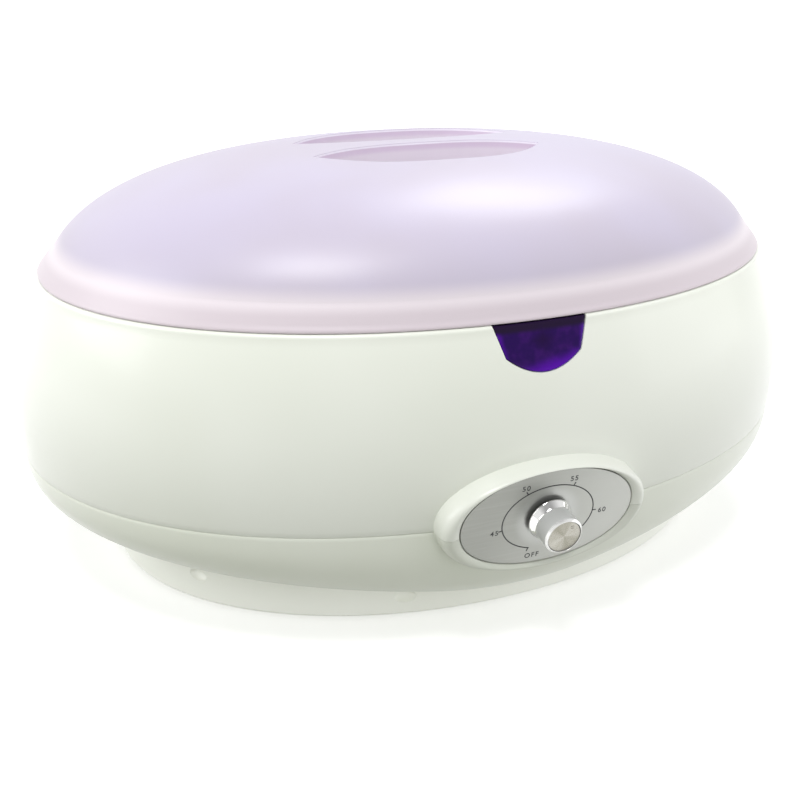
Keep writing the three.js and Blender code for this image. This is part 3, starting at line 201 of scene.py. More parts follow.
# %% Paint
class Paint(Nodes):
    """One material: its tree, its Principled shader, and the ways to feed it."""

    def __init__(self, name, roughness, metallic=0.0, **fixed):
        self.material = bpy.data.materials.new(name)
        self.material.use_nodes = True
        super().__init__(self.material.node_tree)
        self.shader = self.tree.nodes["Principled BSDF"]
        for socket, number in {"Roughness": roughness, "Metallic": metallic, **fixed}.items():
            self.set(socket.replace("_", " "), number)
        self.where = self.node("ShaderNodeTexCoord").outputs["Object"]

    def set(self, socket, value):
        self.feed(self.shader.inputs[socket], value)

    def place(self, centre, turn=(0, 0, 0), scale=(1, 1, 1)):
        """Object coordinates seen from another centre, turned and stretched."""
        back = self.node("ShaderNodeVectorMath", {"operation": "SUBTRACT"}, self.where, tuple(centre))
        return self.node("ShaderNodeMapping", None, back.outputs[0], Rotation=turn, Scale=scale).outputs[0]

    def axes(self, coordinates=None):
        return self.split(coordinates or self.where)

    def noise(self, scale, detail, coordinates=None, roughness=0.5):
        made = self.node("ShaderNodeTexNoise", None, coordinates or self.where, Scale=scale, Detail=detail,
                         Roughness=roughness)
        return Value(self, made.outputs["Fac"])

    def finish(self, colour, roughness=None, height=None, depth=0.0, strength=1.0):
        """Feeds the shader, with a bump of the given depth, and hands back the material."""
        self.set("Base Color", colour)
        self.set("Roughness", roughness)
        if height is not None:
            bump = self.node("ShaderNodeBump", None, Strength=strength, Distance=depth, Height=height)
            self.set("Normal", bump.outputs[0])
        return self.material


def shade(colour, factor):
    return tuple(factor * part for part in colour)


def grained(name, one, other, roughness, spread, scale, depth, strength=0.4, metallic=0.0):
    """A plain finish: one noise drifts between two colours, and roughens and dimples the surface."""
    paint = Paint(name, roughness, metallic)
    grain = paint.noise(scale, detail=3)
    return paint.finish(paint.blend(one, other, grain), roughness + grain * spread, grain, depth, strength)


dark = grained("black_plastic", (0.010, 0.010, 0.011), (0.028, 0.028, 0.030), 0.38, 0.15, 1400, 0.04 * MM)
rubber = grained("soft_rubber", (0.020, 0.020, 0.021), (0.05, 0.05, 0.052), 0.72, 0.2, 900, 0.1 * MM, 0.5)
steel = grained("plated_steel", (0.48, 0.49, 0.50), (0.62, 0.63, 0.64), 0.25, 0.15, 240, 0.02 * MM, metallic=1.0)
print("plain finishes:", dark.name, rubber.name, steel.name)

# %% [markdown]
# The white body is moulded in glossy plastic. A camera close to it sees that the white isn't quite
# even: it drifts a little towards grey green, and the polish of the mould leaves a very fine ripple.
# Painted shade darkens it a little towards the parting line and greys the base still more, while painted
# light makes the plinth lighter. Painted shade also makes the raised frame of the dial a little darker
# than the wall round it.


# %% White plastic
DIAL_CENTRE = Vector((0, MIDDLE_Y - 149.0 * MM, 62.4 * MM))
FRAME_ZONE = (50 * MM, 30 * MM)
FRONT = (-100 * MM, -90 * MM)


def white_plastic(name, low, high, heights):
    """The two colours are those below and above the heights."""
    paint = Paint(name, 0.3, Coat_Weight=0.25, Coat_Roughness=0.12, Specular_IOR_Level=0.5)
    cloud, fine = paint.noise(scale=9, detail=2), paint.noise(scale=1500, detail=2)
    x, y, z = paint.axes()
    rise = z - DIAL_CENTRE.z
    reach = x * x / FRAME_ZONE[0] ** 2 + rise * rise / FRAME_ZONE[1] ** 2
    # Painted shade: the dial's raised frame is darker than the wall round it.
    frame_shade = (1 - reach.rising(0.75, 1)) * (1 - y.rising(*FRONT))
    # Painted light and shade by height, then painted shade on the dial's frame.
    tone = paint.blend(paint.blend(low, high, z.rising(*heights)), shade(high, 0.87), frame_shade)
    paler = paint.node("ShaderNodeHueSaturation", None, Value=1.04, Saturation=0.85, Color=tone)
    ripple = fine + paint.noise(scale=260, detail=1) * 0.6
    return paint.finish(paint.blend(tone, paler.outputs[0], cloud.rising(0.35, 0.65)),
                        0.27 + cloud * 0.06 + fine * 0.04, ripple, 0.03 * MM, 0.35)


WHITE, SHADED_BASE_WHITE, LIT_PLINTH_WHITE = (0.84, 0.868, 0.785), (0.73, 0.76, 0.665), (0.96, 0.975, 0.91)
# Painted shade: the upper housing is darker towards the parting line.
body_white = white_plastic("white_plastic", shade(WHITE, 0.86), WHITE, (50 * MM, 140 * MM))
# Painted shade on the base's bowl, and painted light on its plinth.
base_white = white_plastic("base_white", LIT_PLINTH_WHITE, shade(SHADED_BASE_WHITE, 0.97), (19 * MM, 21.5 * MM))
print("housings:", body_white.name, base_white.name)

# %% [markdown]
# The lid is frosted lilac plastic. The frosting is a fine grain, so its shine is broad and slightly
# sparkling. Low down the skirt is painted pinker and lighter: painted light for the white tub shining
# through. The finger recesses get painted light too, lighter deeper down, and a painted highlight along
# their edge: the paint finds them by their depth under the dome.


# %% Frosted lilac
LID_FOOT = 140.5 * MM
DOME_FOOT, DOME_TOP, DOME_FULLNESS = 118.6 * MM, 190 * MM, 2.72
LID_OVAL = (180 * MM, 129.3 * MM)


def dome_over(paint):
    """The dome's height over a place, so that the paint knows how deep in a recess it is."""
    x, y, z = paint.axes()
    sides = (x / LID_OVAL[0], (y - MIDDLE_Y) / LID_OVAL[1])
    reach = sum(side.math("ABSOLUTE") ** BLUNTNESS for side in sides) ** (DOME_FULLNESS / BLUNTNESS)
    return (1 - reach).math("MAXIMUM", 0) ** (1 / DOME_FULLNESS) * (DOME_TOP - DOME_FOOT) + DOME_FOOT


def frosted_lilac():
    paint = Paint("frosted_lilac", 0.36, Coat_Weight=0.2, Coat_Roughness=0.3, Specular_IOR_Level=0.55)
    grain, cloud = paint.noise(scale=2600, detail=2, roughness=0.7), paint.noise(scale=14, detail=2)
    z = paint.axes()[2]
    height, depth = z - LID_FOOT, dome_over(paint) - z
    upper = paint.blend((0.54, 0.49, 0.59), (0.56, 0.515, 0.645), cloud.rising(0.3, 0.7))
    # Painted light: low down the skirt is lighter and pinker, for the white tub shining through.
    skirt = paint.blend((0.66, 0.585, 0.635), (0.78, 0.71, 0.76), height.rising(5 * MM, 9.5 * MM))
    skirted = paint.blend(skirt, upper, height.rising(8.8 * MM, 16.5 * MM))
    # Painted light in the recesses: lighter deeper down.
    inside = paint.blend((0.60, 0.50, 0.63), (0.68, 0.62, 0.70), depth.rising(2.2 * MM, 4.5 * MM))
    high_up = height.rising(32 * MM, 34 * MM)
    recessed = paint.blend(skirted, inside, depth.rising(0.2 * MM, 0.5 * MM) * high_up)
    # A painted highlight along the edge of each recess.
    line = depth.rising(0.1 * MM, 0.3 * MM) * (1 - depth.rising(0.8 * MM, 1.2 * MM))
    return paint.finish(paint.blend(recessed, (0.80, 0.76, 0.85), line * high_up),
                        0.34 + grain * 0.08, grain + cloud * 0.4, 0.06 * MM, 0.5)


lid_lilac = frosted_lilac()
print("lid:", lid_lilac.name)

# %% [markdown]
# Meshes here are rings stacked one on another. A ring is an oval at one height, so a body is a list
# of ovals from its foot to its top, on the way out, over the edge and back down the inside. Where the
# list ends on the axis the mesh closes in a point. Every ring has its corners in the same directions.


# %% Rings
def oval_ring(half_length, half_width, height, steps=OVAL_STEPS, bluntness=BLUNTNESS, centre=(0, 0)):
    """Corners of one oval, anticlockwise from +X."""
    turns = np.arange(steps) * 2 * math.pi / steps
    way = np.stack([np.cos(turns), np.sin(turns)], axis=1)
    corner = np.sign(way) * np.abs(way) ** (2 / bluntness) * (half_length, half_width) + centre
    return np.column_stack([corner, np.full(steps, height)])


def circle(radius, height, steps, centre=(0, 0)):
    return oval_ring(radius, radius, height, steps, 2, centre)


def tip(height, x=0.0, y=0.0):
    """A ring of one corner, which closes a mesh."""
    return np.array([[x, y, height]])


def stacked(rings, closed=False):
    """Corners and faces of a mesh through rings of equal count, or of one corner."""
    starts = np.cumsum([0] + [len(ring) for ring in rings])
    faces = []
    for low in range(len(rings) if closed else len(rings) - 1):
        high = (low + 1) % len(rings)
        a, b, count = starts[low], starts[high], max(len(rings[low]), len(rings[high]))
        for i in range(count):
            j = (i + 1) % count
            if len(rings[low]) == 1:
                faces.append((a, b + j, b + i))
            elif len(rings[high]) == 1:
                faces.append((a + i, a + j, b))
            else:
                faces.append((a + i, a + j, b + j, b + i))
    return np.concatenate(rings), faces


def soften(mesh, angle=35):
    mesh.shade_smooth()
    mesh.set_sharp_from_angle(angle=math.radians(angle))


def mesh_of(name, corners, faces, smooth=35):
    """A mesh with outward faces, smooth except at edges sharper than the angle."""
    mesh = bpy.data.meshes.new(name)
    mesh.from_pydata([tuple(map(float, c)) for c in corners], [], faces)
    work = bmesh.new()
    work.from_mesh(mesh)
    bmesh.ops.remove_doubles(work, verts=work.verts, dist=1e-7)
    bmesh.ops.recalc_face_normals(work, faces=work.faces)
    work.to_mesh(mesh)
    work.free()
    soften(mesh, smooth)
    return mesh


def lofted(name, rings, closed=False, smooth=35):
    return mesh_of(name, *stacked(rings, closed), smooth)


def show(name, mesh, material, body, slot, *replaced):
    """Puts a finished mesh in the scene, on its body, in the place of the frame's plain nodes."""
    piece = placed(name, mesh)
    mesh.materials.clear()
    mesh.materials.append(material)
    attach(piece, body)
    if replaced:
        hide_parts(*replaced)
    print(f"{name}: {len(mesh.polygons)} faces")


# %% [markdown]
# Cutting and joining whole solids is the quickest way to let the bezel grow out of the body and to
# open the window. Blender's exact solver keeps the result closed. The modifier is worked out at once,
# and only the plain mesh that comes of it is kept.


# %% Joining and cutting solids
def settled(thing):
    """The plain mesh that an object comes to with its modifiers."""
    return bpy.data.meshes.new_from_object(thing.evaluated_get(bpy.context.evaluated_depsgraph_get()))


def combined(mesh, tools, operation):
    """The mesh after each tool mesh is joined to it, cut from it or crossed with it."""
    for tool in tools:
        whole, other = placed("whole", mesh), placed("tool", tool)
        step = whole.modifiers.new("cut", "BOOLEAN")
        step.operation, step.solver, step.object = operation, "EXACT", other
        mesh = settled(whole)
        bpy.data.objects.remove(whole)
        bpy.data.objects.remove(other)
    soften(mesh)
    return mesh


def slab(low, high):
    """A plain block between two corners, used only to cut."""
    (x0, y0, z0), (x1, y1, z1) = low, high
    corners = [(x, y, z) for z in (z0, z1) for x, y in ((x0, y0), (x1, y0), (x1, y1), (x0, y1))]
    faces = [(0, 3, 2, 1), (4, 5, 6, 7), (0, 1, 5, 4), (1, 2, 6, 5), (2, 3, 7, 6), (3, 0, 4, 7)]
    return mesh_of("slab", corners, faces)


def drum(radius, low, high, centre=(0, 0, 0), axis="Z", steps=48):
    """A plain round solid, used to cut and for small feet."""
    mesh = lofted("drum", [tip(low), circle(radius, low, steps), circle(radius, high, steps), tip(high)])
    turn = Matrix.Rotation(-math.pi / 2, 4, "X") if axis == "Y" else Matrix.Identity(4)
    mesh.transform(Matrix.Translation(centre) @ turn)
    return mesh


def ball(centre, radius, flatness=1.0, steps=40):
    """A ball, or a flattened one."""
    x, y, z = centre
    rings = [circle(radius * math.sqrt(1 - h * h), z + radius * flatness * h, steps, (x, y))
             for h in np.linspace(-1, 1, 17)[1:-1]]
    return lofted("ball", [tip(z - radius * flatness, x, y), *rings, tip(z + radius * flatness, x, y)])


def turned(name, profile, steps=112, closed=False, smooth=28):
    """A turned piece. Its profile is a list of radius and height, in millimetres."""
    rings = [circle(radius * MM, height * MM, steps) if radius else tip(height * MM) for radius, height in profile]
    return lofted(name, rings, closed, smooth)


BIG = 0.5
above_seam = slab((-BIG, -BIG, PARTING + SEAM), (BIG, BIG, BIG))
below_seam = slab((-BIG, -BIG, -BIG), (BIG, BIG, PARTING - SEAM))
QUARTERS = [(side, end) for side in (-1, 1) for end in (-1, 1)]
print("cutting blocks meet", round(2000 * SEAM, 2), "mm apart at the parting line")

# %% [markdown]
# The tub's outside is known at three heights over the parting line, and a parabola runs through them.
# Under the line it turns in ever more sharply, until it reaches the small oval that is hidden inside.


# %% Ovals of the tub
def tub_oval(height):
    """Half length and half width of the tub's outside at a height."""
    if height >= PARTING:
        share = (height - PARTING) / (RIM - PARTING)
        weights = ((1 - share) * (1 - 2 * share), 4 * share * (1 - share), share * (2 * share - 1))
        ovals = (PARTING_OVAL, MIDDLE_OVAL, RIM_OVAL)
        return tuple(sum(w * oval[k] for w, oval in zip(weights, ovals)) for k in (0, 1))
    share = min((PARTING - height) / (PARTING - UNDER), 1)
    reach = 1 - share**UNDER_FULLNESS
    return tuple(u + (p - u) * reach for u, p in zip(UNDER_OVAL, PARTING_OVAL))


def oval(sizes, height, inset=0.0):
    return oval_ring(sizes[0] - inset, sizes[1] - inset, height, centre=(0, MIDDLE_Y))


def tub_ring(height, inset=0.0):
    return oval(tub_oval(height), height, inset)


def capped(name, rings):
    """A solid that is closed flat at both ends, in the middle of the tub."""
    return lofted(name, [tip(rings[0][0, 2], y=MIDDLE_Y), *rings, tip(rings[-1][0, 2], y=MIDDLE_Y)])


print("tub at the parting line:", [round(1000 * v, 1) for v in tub_oval(PARTING)])

# %% [markdown]
# The dial's plane leans forward at the top, so that it looks slightly down. All its pieces are drawn
# flat, as if the dial lay on a table with its face up, and one matrix then stands them in the body.
# The bezel's profile gives a share of its width, from the plate's edge outwards, and a height in
# millimetres. Its foot is deep, because the wall behind it curves away.

# %% Dial frame
DIAL_LEAN = math.radians(7.3)
DIAL = Matrix.Translation(DIAL_CENTRE) @ Matrix.Rotation(math.pi / 2 + DIAL_LEAN, 4, "X")
DIAL_TURN = (-(math.pi / 2 + DIAL_LEAN), 0, 0)
DIAL_STEPS = 160
PLATE, PLATE_GAP = (39 * MM, 22.5 * MM), 0.4 * MM
BEZEL_RISE, BEZEL_WIDTH, BEZEL_SPREAD = -1.1 * MM, 7.1 * MM, 5.0 * MM
BEZEL_PROFILE = [
    (1.1, -24.0), (1.1, -11.0), (1.08, -7.0), (1.06, -4.6), (1.03, -3.0), (0.99, -1.9), (0.93, -1.0), (0.85, -0.2),
    (0.75, 0.5), (0.63, 0.95), (0.5, 1.15), (0.37, 1.1), (0.24, 0.85), (0.13, 0.5), (0.05, 0.15), (0.01, -0.1),
    (0.0, -0.4), (0.0, -1.5),
]


def stood(mesh):
    """The mesh moved from the flat drawing to its place in the body."""
    mesh.transform(DIAL)
    return mesh


def on_dial(paint):
    """Coordinates of the flat drawing, for a paint's patterns."""
    return paint.place(DIAL_CENTRE, DIAL_TURN)


def bezel_ring(share, height):
    """One oval of the bezel, its reach a share of the bezel's width beyond the plate's edge."""
    reach = PLATE_GAP + BEZEL_WIDTH * share
    sizes = (PLATE[0] + reach, PLATE[1] + reach - BEZEL_SPREAD * share)
    return oval_ring(*sizes, height, DIAL_STEPS, centre=(0, BEZEL_RISE * share))


def bezel_solid():
    rings = [bezel_ring(share, height * MM) for share, height in BEZEL_PROFILE]
    foot, top = (height * MM for _, height in (BEZEL_PROFILE[0], BEZEL_PROFILE[-1]))
    return stood(lofted("bezel", [tip(foot, y=BEZEL_RISE), *rings, tip(top)]))


BUSHING, BUSHING_LOW, BUSHING_HIGH = 4.2 * MM, -30 * MM, 10 * MM
bushing_hole = stood(drum(BUSHING, BUSHING_LOW, BUSHING_HIGH, steps=32))
print("dial centre", tuple(round(v, 4) for v in DIAL_CENTRE))

# %% [markdown]
# The window for the pilot lights is a small shield under the lid's edge: straight sides that taper,
# two corners, and a foot that bows down between them. The opening is cut with the same outline.

# %% Window outline
WINDOW_TOP, WINDOW_CORNER, WINDOW_FOOT = 139.9 * MM, 127.8 * MM, 121.3 * MM
WINDOW_WIDE, WINDOW_NARROW, WINDOW_SHIFT = 20.6 * MM, 16.6 * MM, 1.5 * MM
WINDOW_GAP, WINDOW_OVERRUN = 0.25 * MM, 6 * MM
CUT_FRONT, CUT_BACK = MIDDLE_Y - 160 * MM, MIDDLE_Y - 116 * MM


def window_outline(grow=0.0, rise=0.0, steps=24):
    """Corners (x, z) of the shield, anticlockwise seen from the front."""
    across = np.linspace(-1, 1, steps)
    drop = (WINDOW_CORNER - WINDOW_FOOT + grow) * (1 - across**2)
    foot = [((WINDOW_NARROW + grow) * a, WINDOW_CORNER - d) for a, d in zip(across, drop)]
    right = [(WINDOW_NARROW + grow + (WINDOW_WIDE - WINDOW_NARROW) * s,
              WINDOW_CORNER + (WINDOW_TOP - WINDOW_CORNER) * s) for s in np.linspace(0, 1, 8)[1:]]
    if rise:
        right.append((WINDOW_WIDE + grow, WINDOW_TOP + rise))
    reach, top = right[-1]
    across_top = [(x, top) for x in np.linspace(reach, -reach, steps)[1:-1]]
    return np.array(foot + right + across_top + [(-x, z) for x, z in reversed(right)]) + (WINDOW_SHIFT, 0)


def front_of_tub(x, z):
    """The y of the tub's front at a place across and up."""
    sizes = np.array([tub_oval(height) for height in np.atleast_1d(z)])
    share = np.clip(np.abs(x) / sizes[:, 0], 0, 1)
    return MIDDLE_Y - sizes[:, 1] * (1 - share**BLUNTNESS) ** (1 / BLUNTNESS)


def window_cutter():
    x, z = window_outline(WINDOW_GAP, WINDOW_OVERRUN).T
    corners, faces = stacked([np.column_stack([x, np.full(len(x), y), z]) for y in (CUT_FRONT, CUT_BACK)])
    faces += [tuple(range(len(x))), tuple(range(2 * len(x) - 1, len(x) - 1, -1))]
    return mesh_of("window_cutter", corners, faces)


print("window", round(2000 * WINDOW_WIDE, 1), "mm wide")

# %% [markdown]
# The upper housing is a ring: up its bulging outside, over a softly rounded rim, down into the mouth,
# along the ledge that carries the pot, and back down the inside of the wall. The upper half of the
# bezel is joined to it, and the window is cut through it.

# %% Upper housing
SHOULDER = 1.9 * MM
MOUTH_INSET, LEDGE_INSET, LEDGE, LEDGE_THICK = 7.6 * MM, 17.6 * MM, 132.2 * MM, 2.5 * MM
EDGE_SOFTNESS = 0.08 * MM
WALL_RINGS, SHOULDER_RINGS, ROOM_RINGS = 30, 7, 14


def upper_rings():
    foot, shoulder = PARTING + SEAM, RIM - SHOULDER
    rings = [tub_ring(foot, EDGE_SOFTNESS), tub_ring(foot + EDGE_SOFTNESS * 0.3, EDGE_SOFTNESS * 0.3)]
    rings += [tub_ring(z) for z in np.linspace(foot + EDGE_SOFTNESS, shoulder, WALL_RINGS)]
    for turn in np.linspace(0, math.pi / 2, SHOULDER_RINGS)[1:]:
        out, up = SHOULDER * (1 - math.cos(turn)), SHOULDER * math.sin(turn)
        rings.append(oval(tub_oval(shoulder), shoulder + up, out))
    mouth = [(RIM, MOUTH_INSET - 0.9 * MM), (RIM - 0.3 * MM, MOUTH_INSET - 0.25 * MM), (RIM - 0.9 * MM, MOUTH_INSET),
             (LEDGE, MOUTH_INSET), (LEDGE, LEDGE_INSET), (LEDGE - LEDGE_THICK, LEDGE_INSET)]
    rings += [oval(RIM_OVAL, height, inset) for height, inset in mouth]
    return rings + [tub_ring(z, WALL) for z in np.linspace(LEDGE - LEDGE_THICK, foot, ROOM_RINGS)]


upper_bezel = combined(bezel_solid(), [above_seam], "INTERSECT")
upper = combined(lofted("upper_housing_skin", upper_rings(), closed=True), [upper_bezel], "UNION")
upper = combined(upper, [window_cutter(), bushing_hole.copy()], "DIFFERENCE")
show("upper_housing_skin", upper, body_white, "tub", "shell", "upper_housing")

# %% [markdown]
# The base is a bowl that turns under ever more sharply, joined to a plinth that rises into it and
# flares a little towards the ground. Both are hollow. Two shallow scoops are pressed in the plinth's
# side, and the cord gland sits in a round seat in the rear wall.

# %% Shapes of the base
BASE_EDGE = 0.55 * MM
BOWL_RINGS, BOWL_CROWDING = 40, 1.4
PLINTH_LOW, PLINTH_TOP, PLINTH_NECK, PLINTH_FLARE = 2 * MM, 31 * MM, 14 * MM, 2 * MM
PLINTH_EDGE, FOOT_RECESS, BOWL_OPENING = 1 * MM, 7 * MM, 2 * MM
FLARE_RINGS, FLARE_CURVE = 7, 1.6
FLOOR_LOW, FLOOR_HIGH, ROOM_INSET, ROOM_CORNER = 4 * MM, 6.5 * MM, 8 * MM, 2 * MM


def bowl():
    top = PARTING - SEAM
    heights = UNDER + (top - BASE_EDGE - UNDER) * np.linspace(0, 1, BOWL_RINGS) ** BOWL_CROWDING
    lip = [tub_ring(top - BASE_EDGE * 0.4, BASE_EDGE * 0.3), tub_ring(top, BASE_EDGE)]
    return capped("bowl", [*map(tub_ring, heights), *lip])


def bowl_room():
    heights = np.linspace(UNDER + WALL, PARTING + BOWL_OPENING, ROOM_RINGS)
    return capped("bowl_room", [tub_ring(z, WALL) for z in heights])


def plinth():
    levels = [(FLOOR_LOW, FOOT_RECESS), (PLINTH_EDGE, FOOT_RECESS), (PLINTH_EDGE, 1 * MM), (1.3 * MM, 0.3 * MM),
              (PLINTH_LOW, 0)]
    levels += [(PLINTH_LOW + share * (PLINTH_NECK - PLINTH_LOW), PLINTH_FLARE * (1 - (1 - share) ** FLARE_CURVE))
               for share in np.linspace(0, 1, FLARE_RINGS)[1:]]
    levels.append((PLINTH_TOP, PLINTH_FLARE))
    return capped("plinth", [oval(PLINTH_OVAL, height, inset) for height, inset in levels])


def plinth_room():
    levels = [(FLOOR_HIGH, ROOM_INSET + ROOM_CORNER), (FLOOR_HIGH + ROOM_CORNER, ROOM_INSET),
              (PLINTH_TOP, ROOM_INSET)]
    return capped("plinth_room", [oval(PLINTH_OVAL, height, inset) for height, inset in levels])


SCOOPS = ((214.8, 13 * MM), (253.8, 9.5 * MM))
SCOOP_RADIUS, SCOOP_DEPTH, SCOOP_FLATNESS = 7 * MM, 3.7 * MM, 0.55


def scoop(turn, height):
    """A flattened ball that bites the plinth at a turn round the oval."""
    way = math.radians(turn)
    x, y = (size * math.copysign(abs(part) ** (2 / BLUNTNESS), part)
            for size, part in zip(PLINTH_OVAL, (math.cos(way), math.sin(way))))
    reach = 1 + (SCOOP_RADIUS - SCOOP_DEPTH) / math.hypot(x, y)
    return ball((x * reach, y * reach + MIDDLE_Y, height), SCOOP_RADIUS, SCOOP_FLATNESS)


print(len(SCOOPS), "scoops in the plinth")

# %% [markdown]
# The gland's seat and bore are cut in the rear wall, and a well for each of the four long screws is
# cut from below.

# %% Base housing
GLAND_HEIGHT, GLAND_SEAT, GLAND_BORE, GLAND_DEEP = 34 * MM, 10 * MM, 6.9 * MM, 20 * MM
GLAND_PLACE = (0, MIDDLE_Y + 141.2 * MM, GLAND_HEIGHT)
WELLS, WELL_RADIUS, WELL_LOW, WELL_TOP = (141 * MM, 66 * MM), 4.4 * MM, -10 * MM, 36 * MM

cuts = [scoop(*place) for place in SCOOPS]
cuts.append(drum(GLAND_SEAT, 0, GLAND_DEEP, GLAND_PLACE, "Y"))
cuts.append(drum(GLAND_BORE, -GLAND_DEEP, GLAND_DEEP, GLAND_PLACE, "Y"))
cuts.append(bushing_hole.copy())
cuts += [drum(WELL_RADIUS, WELL_LOW, WELL_TOP, (sx * WELLS[0], MIDDLE_Y + sy * WELLS[1], 0)) for sx, sy in QUARTERS]
base = combined(bowl(), [plinth()], "UNION")
base = combined(base, [bowl_room(), plinth_room()], "DIFFERENCE")
base = combined(base, [combined(bezel_solid(), [below_seam], "INTERSECT")], "UNION")
show("base_housing_skin", combined(base, cuts, "DIFFERENCE"), base_white, "tub", "shell", "base_housing")

# %% [markdown]
# The lid is a shallow dome with two finger recesses and a grip bar between them. Recesses with soft
# edges are hard to cut cleanly, so the top is one fine grid whose height is a formula: the height of
# the dome, less the depth of the recess. The grid's rim then runs out to the oval in rings.

# %% Shape of the dome
GRIP_LENGTH, GRIP_BAR, GRIP_TIP, GRIP_REACH = 57 * MM, 5.5 * MM, 18 * MM, 44 * MM
GRIP_FLOOR, GRIP_SLOPE, GRIP_EDGE = 175 * MM, 5 * MM, 0.8 * MM
SLOPE_CURVE, EDGE_CURVE, EDGE_STEP = 2.4, 1.6, 0.35
OUTERMOST = 0.999


def blunt_reach(x, y, sizes):
    """How far out a place lies, as a share of the oval's reach in its direction."""
    return (np.abs(x / sizes[0]) ** BLUNTNESS + np.abs(y / sizes[1]) ** BLUNTNESS) ** (1 / BLUNTNESS)


def dome_sizes(inset):
    return LID_OVAL[0] - inset, LID_OVAL[1] - inset


def dome_height(x, y, inset=0.0):
    """Height of the dome over a place, measured from the oval's middle."""
    reach = np.minimum(blunt_reach(x, y, dome_sizes(inset)), OUTERMOST)
    return DOME_FOOT + (DOME_TOP - DOME_FOOT - inset) * (1 - reach**DOME_FULLNESS) ** (1 / DOME_FULLNESS)


def dome_share(height, inset=0.0):
    """How much of its oval the dome fills at a height."""
    return (1 - ((height - DOME_FOOT) / (DOME_TOP - DOME_FOOT - inset)) ** DOME_FULLNESS) ** (1 / DOME_FULLNESS)


def grip_inside(x, y):
    """How far a place lies inside a recess's outline; negative outside it."""
    along = np.clip(np.abs(x) / GRIP_LENGTH, 0, 1.3)
    inner = GRIP_BAR + (GRIP_TIP - GRIP_BAR) * along**3
    outer = GRIP_TIP + (GRIP_REACH - GRIP_TIP) * (1 - along**3)
    inner_slope = 3 * (GRIP_TIP - GRIP_BAR) * along**2 / GRIP_LENGTH
    outer_slope = 3 * (GRIP_REACH - GRIP_TIP) * along**2 / GRIP_LENGTH
    from_bar = (np.abs(y) - inner) / np.sqrt(1 + inner_slope**2)
    from_edge = (outer - np.abs(y)) / np.sqrt(1 + outer_slope**2)
    return np.minimum(from_bar, from_edge)


def lid_height(x, y, inset=0.0):
    """The dome with its recesses. The inset gives the inner face of the wall."""
    dome = dome_height(x, y, inset)
    inside = grip_inside(x, y) + inset
    share = np.clip(inside / (GRIP_SLOPE + inset), 0, 1)
    sink = np.maximum(dome - (GRIP_FLOOR - inset), 0)
    edge = EDGE_STEP + (1 - EDGE_STEP) * np.clip(inside / GRIP_EDGE, 0, 1) ** EDGE_CURVE
    return dome - sink * (1 - (1 - share) ** SLOPE_CURVE) * edge * (inside > 0)


print("dome over the bar", round(1000 * float(lid_height(np.array(0.0), np.array(0.0))), 2), "mm")

# %% [markdown]
# The grid covers the recesses with faces under a millimetre wide. Its corners beside a recess's outline
# are moved onto it, which keeps the edge of the recess from looking like stairs.

# %% Grid over the recesses
GRID_HALF, GRID_STEP = (66 * MM, 51 * MM), 0.75 * MM
TINY = 0.01 * MM


def grid_rim(half_x, half_y, step):
    """A grid's corners, its faces, and the order of its rim corners, anticlockwise."""
    columns, rows = int(round(2 * half_x / step)), int(round(2 * half_y / step))
    xs, ys = np.linspace(-half_x, half_x, columns + 1), np.linspace(-half_y, half_y, rows + 1)
    places = np.array([(x, y) for y in ys for x in xs])
    at = lambda i, j: j * (columns + 1) + i
    faces = [(at(i, j), at(i + 1, j), at(i + 1, j + 1), at(i, j + 1)) for j in range(rows) for i in range(columns)]
    rim = [at(i, 0) for i in range(columns)] + [at(columns, j) for j in range(rows)]
    rim += [at(i, rows) for i in range(columns, 0, -1)] + [at(0, j) for j in range(rows, 0, -1)]
    return places, faces, rim


def snapped(places, faces, step):
    """The grid with its corners beside a recess's outline moved onto it, and its faces split along it."""
    near = np.abs(grip_inside(*places.T)) < step / 2
    for _ in range(4):
        x, y = places.T
        slope = np.stack([grip_inside(x + TINY, y) - grip_inside(x - TINY, y),
                          grip_inside(x, y + TINY) - grip_inside(x, y - TINY)], axis=1) / (2 * TINY)
        reach = grip_inside(x, y) / np.maximum((slope**2).sum(axis=1), 0.3)
        places = places - (near * reach)[:, None] * slope
    split = []
    for a, b, c, d in faces:
        if near[a] and near[c] and not (near[b] and near[d]):
            split += [(a, b, c), (a, c, d)]
        elif near[b] and near[d]:
            split += [(a, b, d), (b, c, d)]
        else:
            split.append((a, b, c, d))
    return places, split


places, grid_faces, rim = grid_rim(*GRID_HALF, GRID_STEP)
places, grid_faces = snapped(places, grid_faces, GRID_STEP)
print("grid:", len(places), "corners,", len(rim), "of them on its rim")

# %% [markdown]
# Rings run from the grid's rim down the dome, over a skirt that flares out and round the lip that drops
# into the tub's mouth, then back up the inside to a second grid. They are drawn in the directions of
# the grid's own rim corners, so the dome joins it without a seam.

# %% Rings of the lid
LID_WALL = 2.2 * MM
SKIRT_TOP, SKIRT_FOOT, INNER_FOOT = 150.5 * MM, 142.6 * MM, 144 * MM
EDGE_OVAL = tuple(size + 0.4 * MM for size in LID_OVAL)
LIP_OVAL = tuple(size - MOUTH_INSET - 0.3 * MM for size in RIM_OVAL)
SKIRT_INSET, SKIRT_RINGS, SKIRT_CURVE = 1.1 * MM, 9, 0.93
DOME_RINGS, DOME_CROWDING = 46, 1.7
EDGE_PROFILE = [(0.55, 142.05), (0.15, 141.45), (0, 140.9), (0.15, 140.55), (0.5, 140.4)]
LIP_PROFILE = [(-0.5, 140.4), (0, 139.9), (0, 137.5), (0.3, 137.2), (1.9, 137.2), (2.2, 137.5), (2.2, 142.6)]
ways = places[rim]


def ring_towards(sizes, height):
    """An oval whose corners lie in the directions of the rim's corners."""
    spots = ways / blunt_reach(*ways.T, sizes)[:, None] + (0, MIDDLE_Y)
    return np.column_stack([spots, np.full(len(ways), height)])


